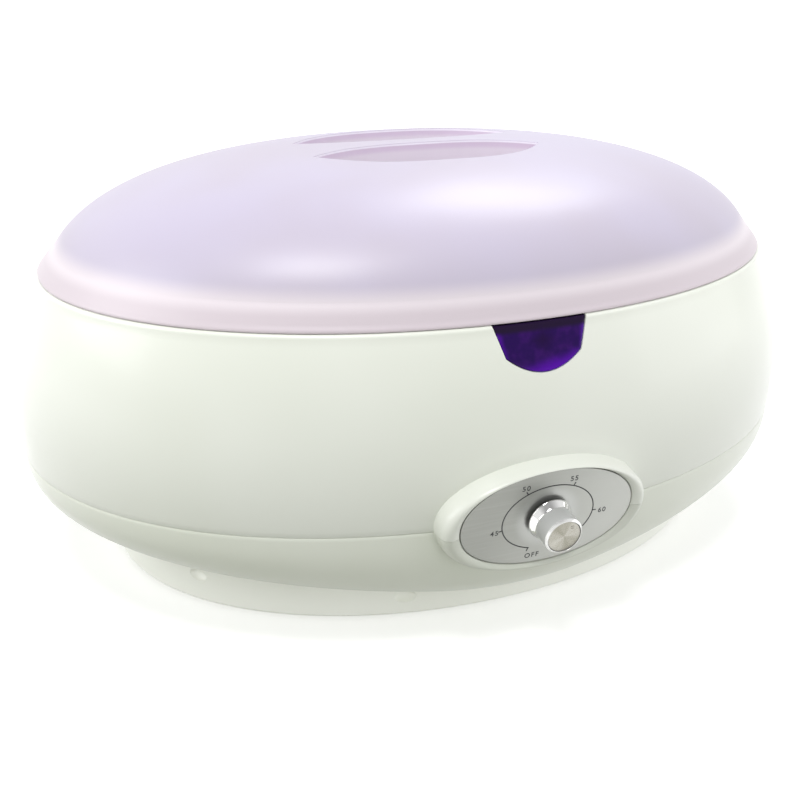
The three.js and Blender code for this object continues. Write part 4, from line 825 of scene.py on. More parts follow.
def dome_rings(inset, lowest):
    """Rings down the dome, each a blend between the grid's rim and the oval of its height."""
    rim_reach = blunt_reach(*ways.T, dome_sizes(inset))
    last = dome_share(lowest, inset)
    for share in 1 - (1 - np.linspace(0, 1, DOME_RINGS)[1:]) ** DOME_CROWDING:
        spots = ways * ((rim_reach + (last - rim_reach) * share) / rim_reach)[:, None]
        yield np.column_stack([spots + (0, MIDDLE_Y), dome_height(*spots.T, inset)])


def skirt_rings():
    top, foot = ([size * dome_share(SKIRT_TOP) for size in LID_OVAL], [size - SKIRT_INSET for size in EDGE_OVAL])
    for down in np.linspace(0, 1, SKIRT_RINGS)[1:]:
        sizes = [t + (f - t) * down**SKIRT_CURVE for t, f in zip(top, foot)]
        yield ring_towards(sizes, SKIRT_TOP + (SKIRT_FOOT - SKIRT_TOP) * down)
    for oval_sizes, profile in ((EDGE_OVAL, EDGE_PROFILE), (LIP_OVAL, LIP_PROFILE)):
        for inset, height in profile:
            yield ring_towards([size - inset * MM for size in oval_sizes], height * MM)


print("skirt from", round(1000 * SKIRT_TOP, 1), "to", round(1000 * SKIRT_FOOT, 1), "mm")

# %% [markdown]
# The two grids and all the rings go into one mesh. Each loop of corners is joined to the next.


# %% Lid
def lid_mesh():
    corners, faces = [], []

    def cap(inset, flip):
        start = sum(map(len, corners))
        corners.append(np.column_stack([places + (0, MIDDLE_Y), lid_height(*places.T, inset)]))
        faces.extend(tuple(start + i for i in (face[::-1] if flip else face)) for face in grid_faces)
        return [start + i for i in rim]

    def loop(points):
        start = sum(map(len, corners))
        corners.append(points)
        return range(start, start + len(rim))

    loops = [cap(0.0, False), *map(loop, dome_rings(0.0, SKIRT_TOP)), *map(loop, skirt_rings()),
             *map(loop, reversed([*dome_rings(LID_WALL, INNER_FOOT)])), cap(LID_WALL, True)]
    for one, other in zip(loops, loops[1:]):
        faces.extend((one[i - 1], other[i - 1], other[i], one[i]) for i in range(len(rim)))
    return mesh_of("lid_skin", np.concatenate(corners), faces, smooth=40)


show("lid_skin", lid_mesh(), lid_lilac, "lid", "lid", "lid")

# %% [markdown]
# The window is a thin violet pane, flush with the body, its edge rounded and a hair's breadth of gap
# around it. It is almost black in the middle; painted light lies along its foot and sides, where its
# moulded edge gathers light, and painted shadow across its top, with a dark painted wedge below it.
# The pane's profile gives a share of the outline's size and a depth in millimetres.


# %% Window pane
def violet_pane():
    paint = Paint("violet_pane", 0.12, Specular_IOR_Level=0.12)
    x, y, z = paint.axes()
    across = (x - WINDOW_SHIFT) / WINDOW_WIDE
    aside = across.math("ABSOLUTE")
    down = (WINDOW_TOP - z) / (WINDOW_TOP - WINDOW_FOOT)
    cloud = paint.noise(scale=160, detail=3)
    # Painted light along the foot and sides of the pane.
    foot_glow = (down + across * 0.22 + cloud * 0.1).rising(0.72, 1.06)
    side_glow = (aside + down * 0.2 + cloud * 0.06).rising(0.86, 1.04)
    deep = paint.blend((0.018, 0.0, 0.085), (0.035, 0.002, 0.12), cloud.rising(0.4, 0.7))
    lit = paint.blend(deep, (0.10, 0.0, 0.42), foot_glow.math("MAXIMUM", side_glow * 0.8))
    # Painted shadow across the top of the pane.
    shaded = paint.blend(lit, (0.014, 0.004, 0.03), 1 - down.rising(0.1, 0.22))
    # A dark painted wedge of shadow in the middle, below the top.
    wedge = (aside * 1.5 + (down - 0.36).math("ABSOLUTE") * 1.7 + cloud * 0.4).rising(0.1, 0.9)
    return paint.finish(paint.blend((0.014, 0.0, 0.05), shaded, wedge), None,
                        paint.noise(scale=420, detail=1), 0.02 * MM, 0.2)


PANE_PROFILE = [(0.2, 0.1), (0.4, 0.1), (0.6, 0.1), (0.8, 0.1), (0.92, 0.12), (0.97, 0.2), (0.99, 0.35), (1.0, 0.7),
                (1.0, 2.6), (0.8, 2.6), (0.5, 2.6), (0.25, 2.6)]


def pane_mesh():
    outline = window_outline()
    middle = np.array([WINDOW_SHIFT, (WINDOW_TOP + WINDOW_CORNER) / 2])

    def ring(spots, depth):
        x, z = spots.T
        return np.column_stack([x, front_of_tub(x, z) + depth * MM, z])

    rings = [ring(middle + (outline - middle) * scale, depth) for scale, depth in PANE_PROFILE]
    ends = [ring(middle[None, :], depth) for _, depth in (PANE_PROFILE[0], PANE_PROFILE[-1])]
    return lofted("window_pane", [ends[0], *rings, ends[1]])


show("window_pane", pane_mesh(), violet_pane(), "tub", "window", "window_lens")

# %% [markdown]
# The dial plate is thin aluminium, brushed and clear-coated to a soft silver, with its scale printed in
# black. Brushing shows as long fine streaks, so the noise is stretched along the plate. Painted light
# makes the plate lighter towards its lower right, and a painted highlight makes it paler round the knob,
# where it is also smoother.

# %% Dial plate
PLATE_HOLE = 6.5 * MM
PLATE_EDGE = [(-1.15, 0.0), (-0.3, 0.0), (-0.1, 0.08), (-0.02, 0.3), (0.0, 0.6)]
SHEEN = (10 * MM, 16 * MM)


def brushed_silver():
    paint = Paint("brushed_silver", 0.36, 0.75, Coat_Weight=0.3, Coat_Roughness=0.2)
    streaks = paint.noise(scale=900, detail=2, coordinates=paint.place(DIAL_CENTRE, scale=(0.03, 1, 1)))
    grain = paint.noise(scale=2500, detail=2)
    x, y = paint.axes(on_dial(paint))[:2]
    # Painted light: the plate is lighter towards its lower right.
    tone = paint.blend((0.28, 0.286, 0.262), (0.43, 0.436, 0.41), (x * 14 - y * 8).rising(-0.5, 0.6))
    streaked = paint.blend(tone, (0.46, 0.465, 0.45), streaks.rising(0.45, 0.8) * 0.12)
    # Painted highlight: paler round the knob, and smoother there too.
    smoother_and_paler = 1 - (x * x + y * y).math("SQRT").rising(*SHEEN)
    return paint.finish(paint.blend(streaked, (0.43, 0.437, 0.42), smoother_and_paler),
                        0.33 + streaks * 0.08 + grain * 0.05 - smoother_and_paler * 0.08, grain + streaks, 0.01 * MM, 0.5)


def plate_mesh():
    rings = [oval_ring(PLATE[0] - inset * MM, PLATE[1] - inset * MM, z * MM, DIAL_STEPS) for z, inset in PLATE_EDGE]
    rings += [oval_ring(*(PLATE_HOLE + (size - PLATE_HOLE) * share for size in PLATE), 0, DIAL_STEPS)
              for share in (0.75, 0.5, 0.25)]
    rings += [circle(PLATE_HOLE, z * MM, DIAL_STEPS) for z, _ in (PLATE_EDGE[-1], PLATE_EDGE[0])]
    return stood(lofted("dial_plate_skin", rings, closed=True))


show("dial_plate_skin", plate_mesh(), brushed_silver(), "tub", "dial_plate", "dial_plate")

# %% [markdown]
# Shapes that repeat by a rule, or that follow a line, are a job for Geometry Nodes. A tree here has
# named inputs. It is worked out once, and only the plain mesh that comes of it is kept.


# %% Helpers for Geometry Nodes
class Tree(Nodes):
    """A Geometry Nodes tree with named inputs, used once and turned into a plain mesh."""

    def __init__(self, name, **inputs):
        super().__init__(bpy.data.node_groups.new(name, "GeometryNodeTree"))
        self.values, face = inputs, self.tree.interface
        for way in ("INPUT", "OUTPUT"):
            face.new_socket("Geometry", in_out=way, socket_type="NodeSocketGeometry")
        for key, value in inputs.items():
            kind = "NodeSocketInt" if isinstance(value, int) else "NodeSocketFloat"
            face.new_socket(key, in_out="INPUT", socket_type=kind)
        self.start, self.end = self.node("NodeGroupInput"), self.node("NodeGroupOutput")

    def input(self, name):
        return Value(self, self.start.outputs[name])

    def mesh(self, name, source, material, last):
        """Realizes the instances, sets the material, and returns the plain mesh."""
        real = self.node("GeometryNodeRealizeInstances", None, last)
        painted = self.node("GeometryNodeSetMaterial", None, real.outputs[0], Material=material)
        self.feed(self.end.inputs[0], painted.outputs[0])
        carrier = placed(name, source)
        step = carrier.modifiers.new(name, "NODES")
        step.node_group = self.tree
        for item in self.tree.interface.items_tree:
            if item.in_out == "INPUT" and item.name in self.values:
                step[item.identifier] = self.values[item.name]
        mesh = settled(carrier)
        carrier.modifiers.remove(step)
        bpy.data.objects.remove(carrier)
        return mesh


def line_mesh(name, points):
    """A mesh of one open line through points, for a tree to turn into a curve."""
    mesh = bpy.data.meshes.new(name)
    mesh.from_pydata([tuple(map(float, p)) for p in points], [(i, i + 1) for i in range(len(points) - 1)], [])
    return mesh


print("trees are made by Tree")

# %% [markdown]
# The printed scale is an oval line from OFF round to past 60, with short ticks at its four numbers and
# at OFF. Turns are in degrees, anticlockwise from the right. The tree's inputs are the width of a
# stroke and its thickness.

# %% Printed scale
ARC, ARC_START, ARC_END, ARC_STEPS = (20.8 * MM, 15.3 * MM), 250, -34, 120
TICKS, TICK = {"OFF": 249, "45": 190, "50": 121, "55": 62, "60": -4}, 1.7 * MM
STROKE, STROKE_THICK, PRINT_LIFT = 0.5 * MM, 0.04 * MM, 0.03 * MM


def print_black():
    paint = Paint("print_black", 0.4)
    speck = paint.noise(scale=1800, detail=2)
    return paint.finish(paint.blend((0.012, 0.012, 0.014), (0.04, 0.04, 0.045), speck.rising(0.5, 0.8)),
                        0.36 + speck * 0.12)


def on_arc(turn, out=0.0):
    """A place on the printed oval, or outside it."""
    way = math.radians(turn)
    return ((ARC[0] + out) * math.cos(way), (ARC[1] + out) * math.sin(way), PRINT_LIFT)


def printed_line(name, points):
    """A flat printed stroke along points, drawn by a tree."""
    tree = Tree(name, Width=STROKE, Thickness=STROKE_THICK)
    curve = tree.node("GeometryNodeMeshToCurve", None, tree.start.outputs[0])
    across = tree.node("GeometryNodeCurvePrimitiveQuadrilateral", None,
                       Width=tree.input("Width"), Height=tree.input("Thickness"))
    stroke = tree.node("GeometryNodeCurveToMesh", None, curve.outputs[0], across.outputs[0], Fill_Caps=True)
    return tree.mesh(name, line_mesh(name, points), ink, stroke.outputs[0])


def joined_mesh(name, meshes):
    work = bmesh.new()
    for mesh in meshes:
        work.from_mesh(mesh)
    whole = bpy.data.meshes.new(name)
    work.to_mesh(whole)
    work.free()
    return whole


ink = print_black()
strokes = [printed_line("scale_line", [on_arc(turn) for turn in np.linspace(ARC_START, ARC_END, ARC_STEPS)])]
strokes += [printed_line(f"tick_{name}", [on_arc(turn), on_arc(turn, TICK)]) for name, turn in TICKS.items()]
show("printed_scale", stood(joined_mesh("printed_scale", strokes)), ink, "tub", "dial_plate")

# %% [markdown]
# The numbers are flat letters a little above the plate, so thin that they read as ink. Blender's own
# font is turned into a mesh before its place is applied.

# %% Numbers on the dial
LETTER, LETTER_GAP, LETTER_THICK, LETTER_BOLD = 3.3 * MM, 1.25, 0.02 * MM, 0.04 * MM
LABELS = {"OFF": (-5.3, -18.6), "45": (-23.9, -3.4), "50": (-11.9, 16.2), "55": (9.6, 17.0), "60": (25.4, -2.0)}


def label_mesh(word, centre):
    """The word as a mesh, its centre in millimetres on the plate."""
    text = bpy.data.curves.new(f"label_{word}", "FONT")
    text.body, text.size, text.align_x, text.align_y = word, LETTER, "CENTER", "CENTER"
    text.space_character, text.extrude, text.offset = LETTER_GAP, LETTER_THICK, LETTER_BOLD
    carrier = placed("label", text)
    mesh = settled(carrier)
    bpy.data.objects.remove(carrier)
    mesh.transform(Matrix.Translation((centre[0] * MM, centre[1] * MM, PRINT_LIFT)))
    return mesh


labels = stood(joined_mesh("dial_numbers", [label_mesh(word, centre) for word, centre in LABELS.items()]))
show("dial_numbers", labels, ink, "tub", "dial_plate")

# %% [markdown]
# The knob's metal comes in three finishes. The side is satin up to a polished chamfer, the foot is
# polished with faint lathe rings, and the face is spun; its shine is painted on the face as two opposite
# lighter wedges and thin slivers, a painted reflection.

# %% Metals of the knob
CHAMFER = (12.96 * MM, 13.04 * MM)


def satin_metal():
    paint = Paint("satin_metal", 0.3, 0.6)
    grain = paint.noise(scale=3200, detail=2, roughness=0.7)
    smoother_and_paler = paint.axes(on_dial(paint))[2].rising(*CHAMFER)
    return paint.finish(paint.blend((0.70, 0.71, 0.70), (0.80, 0.80, 0.79), smoother_and_paler),
                        (0.34 + grain * 0.1) * (1 - smoother_and_paler) + smoother_and_paler * 0.08,
                        grain * (1 - smoother_and_paler), 0.04 * MM, 0.6)


def polished_metal():
    paint = Paint("polished_metal", 0.06, 1.0)
    rings = paint.node("ShaderNodeTexWave", {"wave_type": "BANDS", "bands_direction": "Z"}, on_dial(paint),
                       Scale=900.0, Distortion=0.4)
    lathe = Value(paint, rings.outputs["Fac"])
    return paint.finish(paint.blend((0.80, 0.80, 0.79), (0.86, 0.86, 0.85), lathe), 0.05 + lathe * 0.04)


def spun_metal():
    paint = Paint("spun_metal", 0.3, 0.85)
    x, y = paint.axes(on_dial(paint))[:2]
    turn = y.math("ARCTAN2", x)
    # Painted reflection: two light wedges and thin slivers round the face.
    wedge = (turn * 2 + 0.5).math("SINE") * 0.5 + 0.5
    sliver = (turn * 7 + 1.1).math("SINE") * 0.5 + 0.5
    grooves = ((x * x + y * y).math("SQRT") * 60000).math("SINE")
    return paint.finish(paint.blend((0.29, 0.28, 0.23), (0.45, 0.435, 0.39), wedge * 0.75 + sliver * 0.25),
                        0.28 + grooves * 0.04, grooves, 0.01 * MM, 0.4)


satin, polish, spun = satin_metal(), polished_metal(), spun_metal()
print("metals:", satin.name, polish.name, spun.name)

# %% [markdown]
# The knob is turned metal on a black plastic core: a flared foot, a sleeve and a disc on its face, with
# a small dimple that points. Each profile is a list of radius and height above the plate.

# %% Knob
CORE = [(6.5, 0.6), (8.5, 0.6), (8.55, 0.7), (8.55, 1.3), (8.45, 1.4), (7.4, 1.4), (7.4, 12.8), (0, 12.8), (0, 11.9),
        (3.3, 11.9), (3.3, 2.3), (6.5, 2.0)]
SKIRT = [(7.75, 1.7), (9.6, 1.7), (9.75, 1.85), (9.75, 2.1), (9.6, 2.4), (9.2, 3.0), (8.75, 3.7), (8.35, 4.4),
         (8.05, 4.9), (8.0, 5.1), (7.75, 5.1)]
SLEEVE = [(7.75, 5.15), (8.15, 5.15), (8.3, 5.3), (8.3, 12.95), (8.22, 13.1), (7.6, 13.8), (7.5, 13.88),
          (7.35, 13.9), (7.3, 13.8), (7.3, 13.1), (7.75, 13.1)]
FACE = [(0, 13.1), (6.95, 13.1), (7.05, 13.2), (7.05, 13.55), (6.9, 13.62), (4.5, 13.58), (2.0, 13.54), (0, 13.53)]
POINTER, DIMPLE_OUT, DIMPLE_UP, DIMPLE = math.radians(52), 5 * MM, 14.0 * MM, 0.95 * MM


def turned_piece(name, profile):
    """A ring-shaped piece of the knob, in its place on the dial."""
    return stood(turned(name, profile, closed=True))


dimple = ball((DIMPLE_OUT * math.cos(POINTER), DIMPLE_OUT * math.sin(POINTER), DIMPLE_UP), DIMPLE)
face = stood(combined(turned("knob_face_skin", FACE), [dimple], "DIFFERENCE"))
show("knob_core_skin", turned_piece("knob_core_skin", CORE), dark, "knob", "black_plastic", "knob_core")
show("knob_skirt", turned_piece("knob_skirt", SKIRT), polish, "knob", "knob_metal", "knob_sleeve")
show("knob_sleeve_skin", turned_piece("knob_sleeve_skin", SLEEVE), satin, "knob", "knob_metal")
show("knob_face_skin", face, spun, "knob", "spun_metal", "knob_face")

# %% [markdown]
# Under the lid is the pot, drawn from aluminium sheet. Drawing leaves faint streaks up its wall, and
# use leaves it a little cloudy. Its flange lies on a soft ring, down in the housing's mouth. A row of
# the flange is an oval, a height in millimetres above the flange's underside, and an inset.

# %% Pot
POT_FOOT, POT_NECK, FLANGE = (139.9 * MM, 89.2 * MM), (157.4 * MM, 106.7 * MM), (172.5 * MM, 121.8 * MM)
POT_LOW, FLANGE_LOW, POT_WALL, POT_CORNER = 56.5 * MM, 134.6 * MM, 1.5 * MM, 15 * MM
POT_RINGS = 9
FLANGE_PROFILE = [
    (POT_NECK, -1.2, 0), (POT_NECK, -0.3, -0.3), (POT_NECK, 0, -1.2), (FLANGE, 0, 0.4), (FLANGE, 0.4, 0),
    (FLANGE, 1.1, 0), (FLANGE, 1.5, 0.4), (POT_NECK, 1.5, -1.0), (POT_NECK, 1.2, 0.4), (POT_NECK, 0.3, 1.2),
]


def drawn_aluminium():
    paint = Paint("drawn_aluminium", 0.3, 0.9)
    streaks = paint.noise(scale=320, detail=3, coordinates=paint.place((0, MIDDLE_Y, 0), scale=(1, 1, 0.04)))
    cloud = paint.noise(scale=26, detail=3)
    return paint.finish(paint.blend((0.66, 0.67, 0.68), (0.80, 0.81, 0.82), cloud.rising(0.3, 0.7)),
                        0.22 + streaks * 0.14 + cloud * 0.08, streaks, 0.03 * MM, 0.4)


def pot_side(inset):
    """Rings from the foot's flat up round its corner and up the tapering wall."""
    rings, corner = [], POT_CORNER - inset
    for turn in np.linspace(0, math.pi / 2, POT_RINGS):
        out, up = corner * (1 - math.sin(turn)), corner * (1 - math.cos(turn))
        rings.append(oval(POT_FOOT, POT_LOW + inset + up, inset + out))
    low = POT_LOW + POT_CORNER
    for share in np.linspace(0, 1, POT_RINGS)[1:-1]:
        sizes = tuple(f + (n - f) * share for f, n in zip(POT_FOOT, POT_NECK))
        rings.append(oval(sizes, low + (FLANGE_LOW - low) * share, inset))
    return rings


bare_aluminium = drawn_aluminium()
flange = [oval(sizes, FLANGE_LOW + up * MM, inset * MM) for sizes, up, inset in FLANGE_PROFILE]
pot = capped("pot_skin", [*pot_side(0.0), *flange, *reversed(pot_side(POT_WALL))])
show("pot_skin", pot, bare_aluminium, "tub", "aluminium", "inner_pot")

# %% [markdown]
# The finger grille keeps hands off the hot floor of the pot. Its slots repeat in rows, and only those
# that fit inside the oval are there, which is a rule that Geometry Nodes can follow: a grid of points,
# those outside the oval deleted, a rounded slot on each, and one cut through the plate.

# %% Finger grille
grille_low, grille_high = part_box("finger_grille")
GRILLE = (grille_high.x, (grille_high.y - grille_low.y) / 2)
GRILLE_LOW, GRILLE_HIGH = grille_high.z - 2.6 * MM, grille_high.z
GRILLE_MIDDLE, GRILLE_STEPS, GRILLE_RIM = (GRILLE_LOW + GRILLE_HIGH) / 2, 160, 4 * MM
SLOT_END, CUT_REACH = 0.499, 5 * MM
GRILLE_FEET, FOOT_RADIUS, FOOT_OVERLAP = (75 * MM, 34.5 * MM), 3 * MM, 1 * MM


def matt_insert():
    paint = Paint("matt_insert", 0.5)
    grain, cloud = paint.noise(scale=1100, detail=3), paint.noise(scale=30, detail=2)
    return paint.finish(paint.blend((0.76, 0.77, 0.75), (0.83, 0.84, 0.82), cloud),
                        0.46 + grain * 0.12, grain, 0.05 * MM, 0.4)


def grille_plate():
    levels = [(GRILLE_LOW, 0.5), (GRILLE_LOW + 0.15 * MM, 0.1), (GRILLE_LOW + 0.5 * MM, 0.0),
              (GRILLE_HIGH - 0.6 * MM, 0.0), (GRILLE_HIGH - 0.15 * MM, 0.2), (GRILLE_HIGH, 0.7)]
    return capped("grille_plate", [
        oval_ring(GRILLE[0] - inset * MM, GRILLE[1] - inset * MM, z, GRILLE_STEPS, centre=(0, MIDDLE_Y))
        for z, inset in levels])


def slotted(plate):
    tree = Tree("finger_grille_slots", Columns=7, Rows=5, Pitch_along=30 * MM, Pitch_across=23 * MM,
                Slot_length=20 * MM, Slot_width=9 * MM,
                Oval_length=GRILLE[0] - GRILLE_RIM, Oval_width=GRILLE[1] - GRILLE_RIM)
    columns, rows, length, width = map(tree.input, ("Columns", "Rows", "Slot_length", "Slot_width"))
    grid = tree.node("GeometryNodeMeshGrid", None, tree.input("Pitch_along") * (columns - 1.0),
                     tree.input("Pitch_across") * (rows - 1.0), columns, rows)
    x, y = tree.split(tree.node("GeometryNodeInputPosition").outputs[0])[:2]
    along = ((x.math("ABSOLUTE") + length * 0.5) / tree.input("Oval_length")) ** 2.0
    across = ((y.math("ABSOLUTE") + width * 0.5) / tree.input("Oval_width")) ** 2.0
    kept = tree.node("GeometryNodeDeleteGeometry", {"domain": "POINT"}, grid.outputs[0],
                     (along + across).math("GREATER_THAN", 1.0))
    moved = tree.node("GeometryNodeSetPosition", None, kept.outputs[0], Offset=(0, MIDDLE_Y, GRILLE_MIDDLE))
    outline = tree.node("GeometryNodeCurvePrimitiveQuadrilateral", None, Width=length, Height=width)
    round_ends = tree.node("GeometryNodeFilletCurve", {"mode": "POLY"}, outline.outputs[0],
                           Radius=width * SLOT_END, Count=7)
    tall = tree.node("GeometryNodeCurvePrimitiveLine", None, Start=(0, 0, -CUT_REACH), End=(0, 0, CUT_REACH))
    prism = tree.node("GeometryNodeCurveToMesh", None, tall.outputs[0], round_ends.outputs[0], Fill_Caps=True)
    set_out = tree.node("GeometryNodeInstanceOnPoints", None, moved.outputs[0], Instance=prism.outputs[0])
    cutters = tree.node("GeometryNodeRealizeInstances", None, set_out.outputs[0])
    cut = tree.node("GeometryNodeMeshBoolean", {"operation": "DIFFERENCE", "solver": "EXACT"},
                    Mesh_1=tree.start.outputs[0], Mesh_2=cutters.outputs[0])
    return tree.mesh("finger_grille_skin", plate, insert_white, cut.outputs[0])


insert_white = matt_insert()
feet = [drum(FOOT_RADIUS, grille_low.z, GRILLE_LOW + FOOT_OVERLAP,
             (sx * GRILLE_FEET[0], MIDDLE_Y + sy * GRILLE_FEET[1], 0), steps=24) for sx, sy in QUARTERS]
grille = combined(slotted(grille_plate()), feet, "UNION")
show("finger_grille_skin", grille, insert_white, "grille", "insert", "finger_grille")

# %% [markdown]
# Four rubber feet and four screw heads lie at the corners of rectangles. One tree puts a piece at each
# corner of a rectangle given by its two half sides.

# %% Feet and screws
FEET, SCREW_HEIGHT = (104 * MM, 60 * MM), 33.1 * MM
CROSS_LONG, CROSS_WIDE, CROSS_LOW, CROSS_HIGH = 2.2 * MM, 0.4 * MM, -1 * MM, 1.3 * MM
FOOT = [(0, 0.0), (6.6, 0.0), (7.4, 0.2), (7.9, 0.7), (8, 1.2), (8, 4.7), (7.8, 4.9), (0, 4.9)]
HEAD = [(0, 0.0), (1.6, 0.05), (2.8, 0.5), (3.6, 1.4), (3.7, 2.4), (3.6, 2.6), (1.2, 2.6), (1.2, 18.0), (0, 18.6)]


def at_corners(name, piece, half_x, half_y, height, material):
    tree = Tree(name, Half_length=half_x, Half_width=half_y, Height=height)
    corners = tree.node("GeometryNodeMeshGrid", None, tree.input("Half_length") * 2.0,
                        tree.input("Half_width") * 2.0, 2, 2)
    lift = tree.node("ShaderNodeCombineXYZ", None, 0.0, MIDDLE_Y, tree.input("Height"))
    moved = tree.node("GeometryNodeSetPosition", None, corners.outputs[0], Offset=lift.outputs[0])
    set_out = tree.node("GeometryNodeInstanceOnPoints", None, moved.outputs[0], Instance=tree.start.outputs[0])
    mesh = tree.mesh(name, piece, material, set_out.outputs[0])
    soften(mesh)
    return mesh


show("rubber_feet", at_corners("rubber_feet", turned("foot", FOOT, 48), *FEET, 0.0, rubber), rubber,
     "tub", "rubber", "foot_1", "foot_2", "foot_3", "foot_4")
cross = [slab((-x, -y, CROSS_LOW), (x, y, CROSS_HIGH))
         for x, y in ((CROSS_LONG, CROSS_WIDE), (CROSS_WIDE, CROSS_LONG))]
head = combined(turned("head", HEAD, 32), cross, "DIFFERENCE")
show("base_screws", at_corners("base_screws", head, *WELLS, SCREW_HEIGHT, steel), steel,
     "tub", "steel", "base_screw_1", "base_screw_2", "base_screw_3", "base_screw_4")

# %% [markdown]
# The cord gland is a black bushing in the rear wall, with a smooth flared mouth so that the cord can't
# chafe. No cord is in the picture, so none leaves it here.

# %% Cord gland
GLAND = [(3.6, -16.6), (6.5, -16.6), (6.5, 0.3), (9.2, 0.3), (9.4, 0.5), (9.4, 1.3), (9.1, 1.9), (8.3, 2.5),
         (7.2, 2.7), (5.6, 2.65), (4.6, 2.3), (3.9, 1.6), (3.6, 0.4)]
gland = turned("cord_gland_skin", GLAND, 64, closed=True)
gland.transform(Matrix.Translation(GLAND_PLACE) @ Matrix.Rotation(-math.pi / 2, 4, "X"))
show("cord_gland_skin", gland, dark, "tub", "black_plastic", "cord_gland")

# %% [markdown]
# What lies inside the body stays as the frame has it, each node with the finish of its own material.
# A circuit board is dark green with lighter tracks, a lamp is coloured, a wire is glossy.


# %% Finishes of the inner parts
def two_tone(name, one, other, roughness, scale):
    """A plain moulded or painted finish: two close colours, drifting, with a fine grain."""
    paint = Paint(name, roughness)
    drift = paint.noise(scale, detail=3)
    return paint.finish(paint.blend(one, other, drift.rising(0.3, 0.7)), roughness + drift * 0.1,
                        paint.noise(scale * 12, detail=2), 0.04 * MM, 0.3)


def circuit_board():
    paint = Paint("circuit_board", 0.35)
    cells = paint.node("ShaderNodeTexVoronoi", {"feature": "DISTANCE_TO_EDGE"}, paint.where, Scale=130)
    edges = Value(paint, cells.outputs["Distance"])
    return paint.finish(paint.blend((0.03, 0.20, 0.08), (0.012, 0.10, 0.035), edges.rising(0.02, 0.05)),
                        0.3 + edges * 0.5)


inner_finishes = {
    "silicone": two_tone("grey_silicone", (0.55, 0.55, 0.53), (0.62, 0.62, 0.60), 0.6, 80),
    "aluminium": bare_aluminium,
    "insert": insert_white,
    "heater": two_tone("heater_film", (0.36, 0.10, 0.04), (0.46, 0.15, 0.06), 0.5, 60),
    "steel": steel,
    "black_plastic": dark,
    "board": circuit_board(),
    "component": two_tone("component_blue", (0.05, 0.11, 0.32), (0.08, 0.16, 0.42), 0.35, 150),
    "red_lamp": two_tone("lamp_red", (0.55, 0.01, 0.01), (0.75, 0.03, 0.02), 0.12, 300),
    "green_lamp": two_tone("lamp_green", (0.01, 0.38, 0.04), (0.02, 0.55, 0.07), 0.12, 300),
    "wire": two_tone("wire_sleeve", (0.38, 0.02, 0.02), (0.50, 0.04, 0.03), 0.3, 200),
}
slot_of = {part["node"]: part["material_slot"] for part in frame["record"]["subparts"]}
inner = {name: node for name, node in frame["nodes"].items() if not node.hide_render}
for name, node in inner.items():
    node.data.materials.clear()
    node.data.materials.append(inner_finishes[slot_of[name]])
print(len(inner), "inner nodes given a finish")

# %% [markdown]
# The picture's ground is white paper lit until it has hardly a shadow, so the floor is a very pale
# sheet that runs out to the horizon. It also glows, more dimly within a third of a metre of the object
# and fully from 1.3 m out: painted light that whitens the paper. Light that bounces off it doesn't
# reach the object: the room below the horizon does that work, and is dimmer, so that the underside
# stays in shade.

# %% Floor
FLOOR_REACH, GLOW, GLOW_FADE = 40.0, 0.6, (0.3, 1.3)


def pale_sheet():
    paint = Paint("pale_sheet", 0.9, Emission_Strength=GLOW)
    x, y = paint.axes()[:2]
    away = (x * x + y * y).math("SQRT").rising(*GLOW_FADE)
    # Painted light: the sheet glows, dimmer near the object and full further out.
    paint.set("Emission Color", paint.blend((0.55, 0.55, 0.55), (1, 1, 1), away))
    return paint.finish(paint.blend((0.93, 0.93, 0.93), (0.95, 0.95, 0.95), paint.noise(scale=2, detail=2)))


def wide_floor(reach):
    mesh = bpy.data.meshes.new("floor")
    corners = [(-reach, -reach, 0), (reach, -reach, 0), (reach, reach, 0), (-reach, reach, 0)]
    mesh.from_pydata(corners, [], [(0, 1, 2, 3)])
    mesh.materials.append(pale_sheet())
    floor = placed("floor", mesh)
    floor.visible_diffuse = False
    return floor


wide_floor(FLOOR_REACH)
print("floor", 2 * FLOOR_REACH, "m wide")

# %% [markdown]
# The lid mirrors two soft boxes: one hangs overhead, a little to the left, and a cooler one stands
# high behind on the right. Mirroring the camera's line of sight at the middle of each highlight gives
# the direction of its box. A strong panel on the left whitens that end, and a weak one lifts the right.

# %% Light
LID_MIDDLE, BODY_MIDDLE, BOX_DISTANCE = (0, 0, 0.15), (0, 0, 0.1), 1.3
PANEL, COOL = (0.9, 0.9), (0.93, 0.95, 1.0)


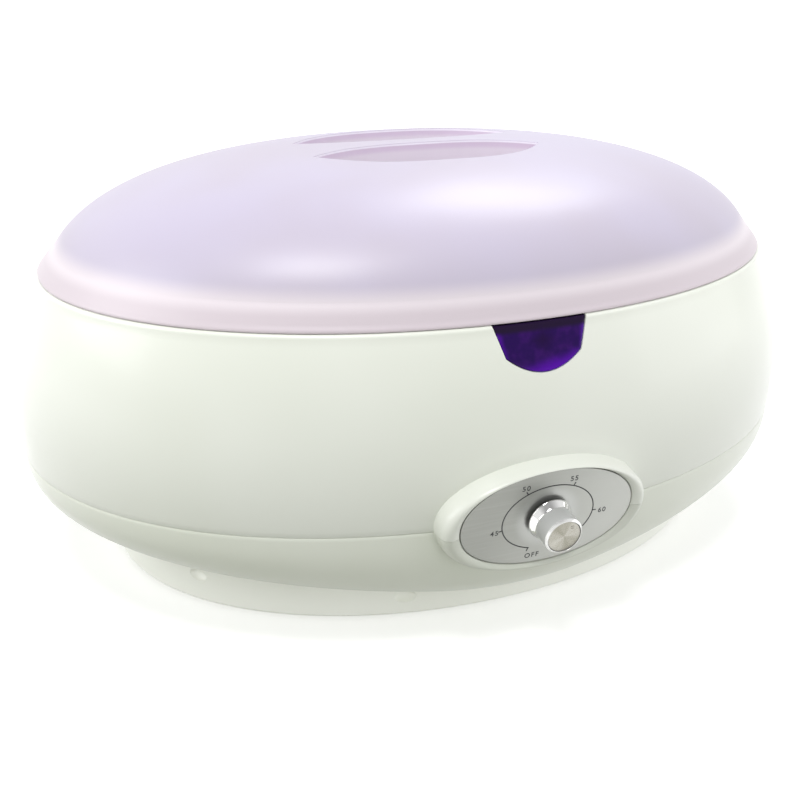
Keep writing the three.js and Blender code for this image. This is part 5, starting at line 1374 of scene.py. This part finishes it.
def softbox(name, place, target, size, watts, colour=(1, 1, 1)):
    light = bpy.data.lights.new(name, "AREA")
    light.shape, light.size, light.size_y, light.energy, light.color = "RECTANGLE", *size, watts, colour
    lamp = placed(name, light)
    lamp.location = place
    lamp.rotation_euler = (Vector(target) - Vector(place)).to_track_quat("-Z", "Y").to_euler()


def along(direction):
    """The place of a box that lies in a direction from the lid."""
    return Vector(LID_MIDDLE) + Vector(direction).normalized() * BOX_DISTANCE


softbox("overhead", along((-0.25, -0.27, 0.93)), LID_MIDDLE, (0.45, 0.35), 6.8)
softbox("behind", along((0.45, 0.45, 0.77)), LID_MIDDLE, (0.55, 0.42), 4.6, COOL)
softbox("left", (-1.25, 0.1, 0.7), BODY_MIDDLE, PANEL, 6.0)
softbox("right", (1.2, -0.5, 0.12), BODY_MIDDLE, PANEL, 2.6)

# %% [markdown]
# The room is white at the horizon, a little dimmer half way up, much dimmer overhead and dimmest below
# the horizon. A wall that leans back is then lighter than one that leans forward, as in the picture.
# On the right more light comes from below. A stop of the ramp is a share of the way up and a colour.

# %% Room
BELOW, HORIZON = (0.20, 0.215, 0.155), (1.0, 1.0, 1.0)
BESIDE, OVERHEAD = shade(HORIZON, 0.95), shade(HORIZON, 0.42)
RIGHT_GLOW, RIGHTWARD = shade(HORIZON, 0.93), (0.1, 0.8)
STOPS = [(0.46, BELOW), (0.5, HORIZON), (0.75, BESIDE), (0.9, OVERHEAD)]


def room():
    world = bpy.data.worlds.new("room")
    world.use_nodes = True
    nodes = Nodes(world.node_tree)
    x, _, z = nodes.split(nodes.node("ShaderNodeTexCoord").outputs["Generated"])
    ramp = nodes.node("ShaderNodeValToRGB", None, z.rising(-1, 1, "LINEAR"))
    stops = ramp.color_ramp.elements
    while len(stops) < len(STOPS):
        stops.new(0.5)
    for stop, (height, colour) in zip(stops, STOPS):
        stop.position, stop.color = height, (*colour, 1)
    glow = nodes.blend(ramp.outputs[0], RIGHT_GLOW, x.rising(*RIGHTWARD, "LINEAR"), "LIGHTEN")
    nodes.feed(world.node_tree.nodes["Background"].inputs["Color"], glow)
    return world


bpy.context.scene.world = room()
bpy.context.scene.view_settings.view_transform = "Standard"
print("room with", len(STOPS), "stops of light from below to overhead")
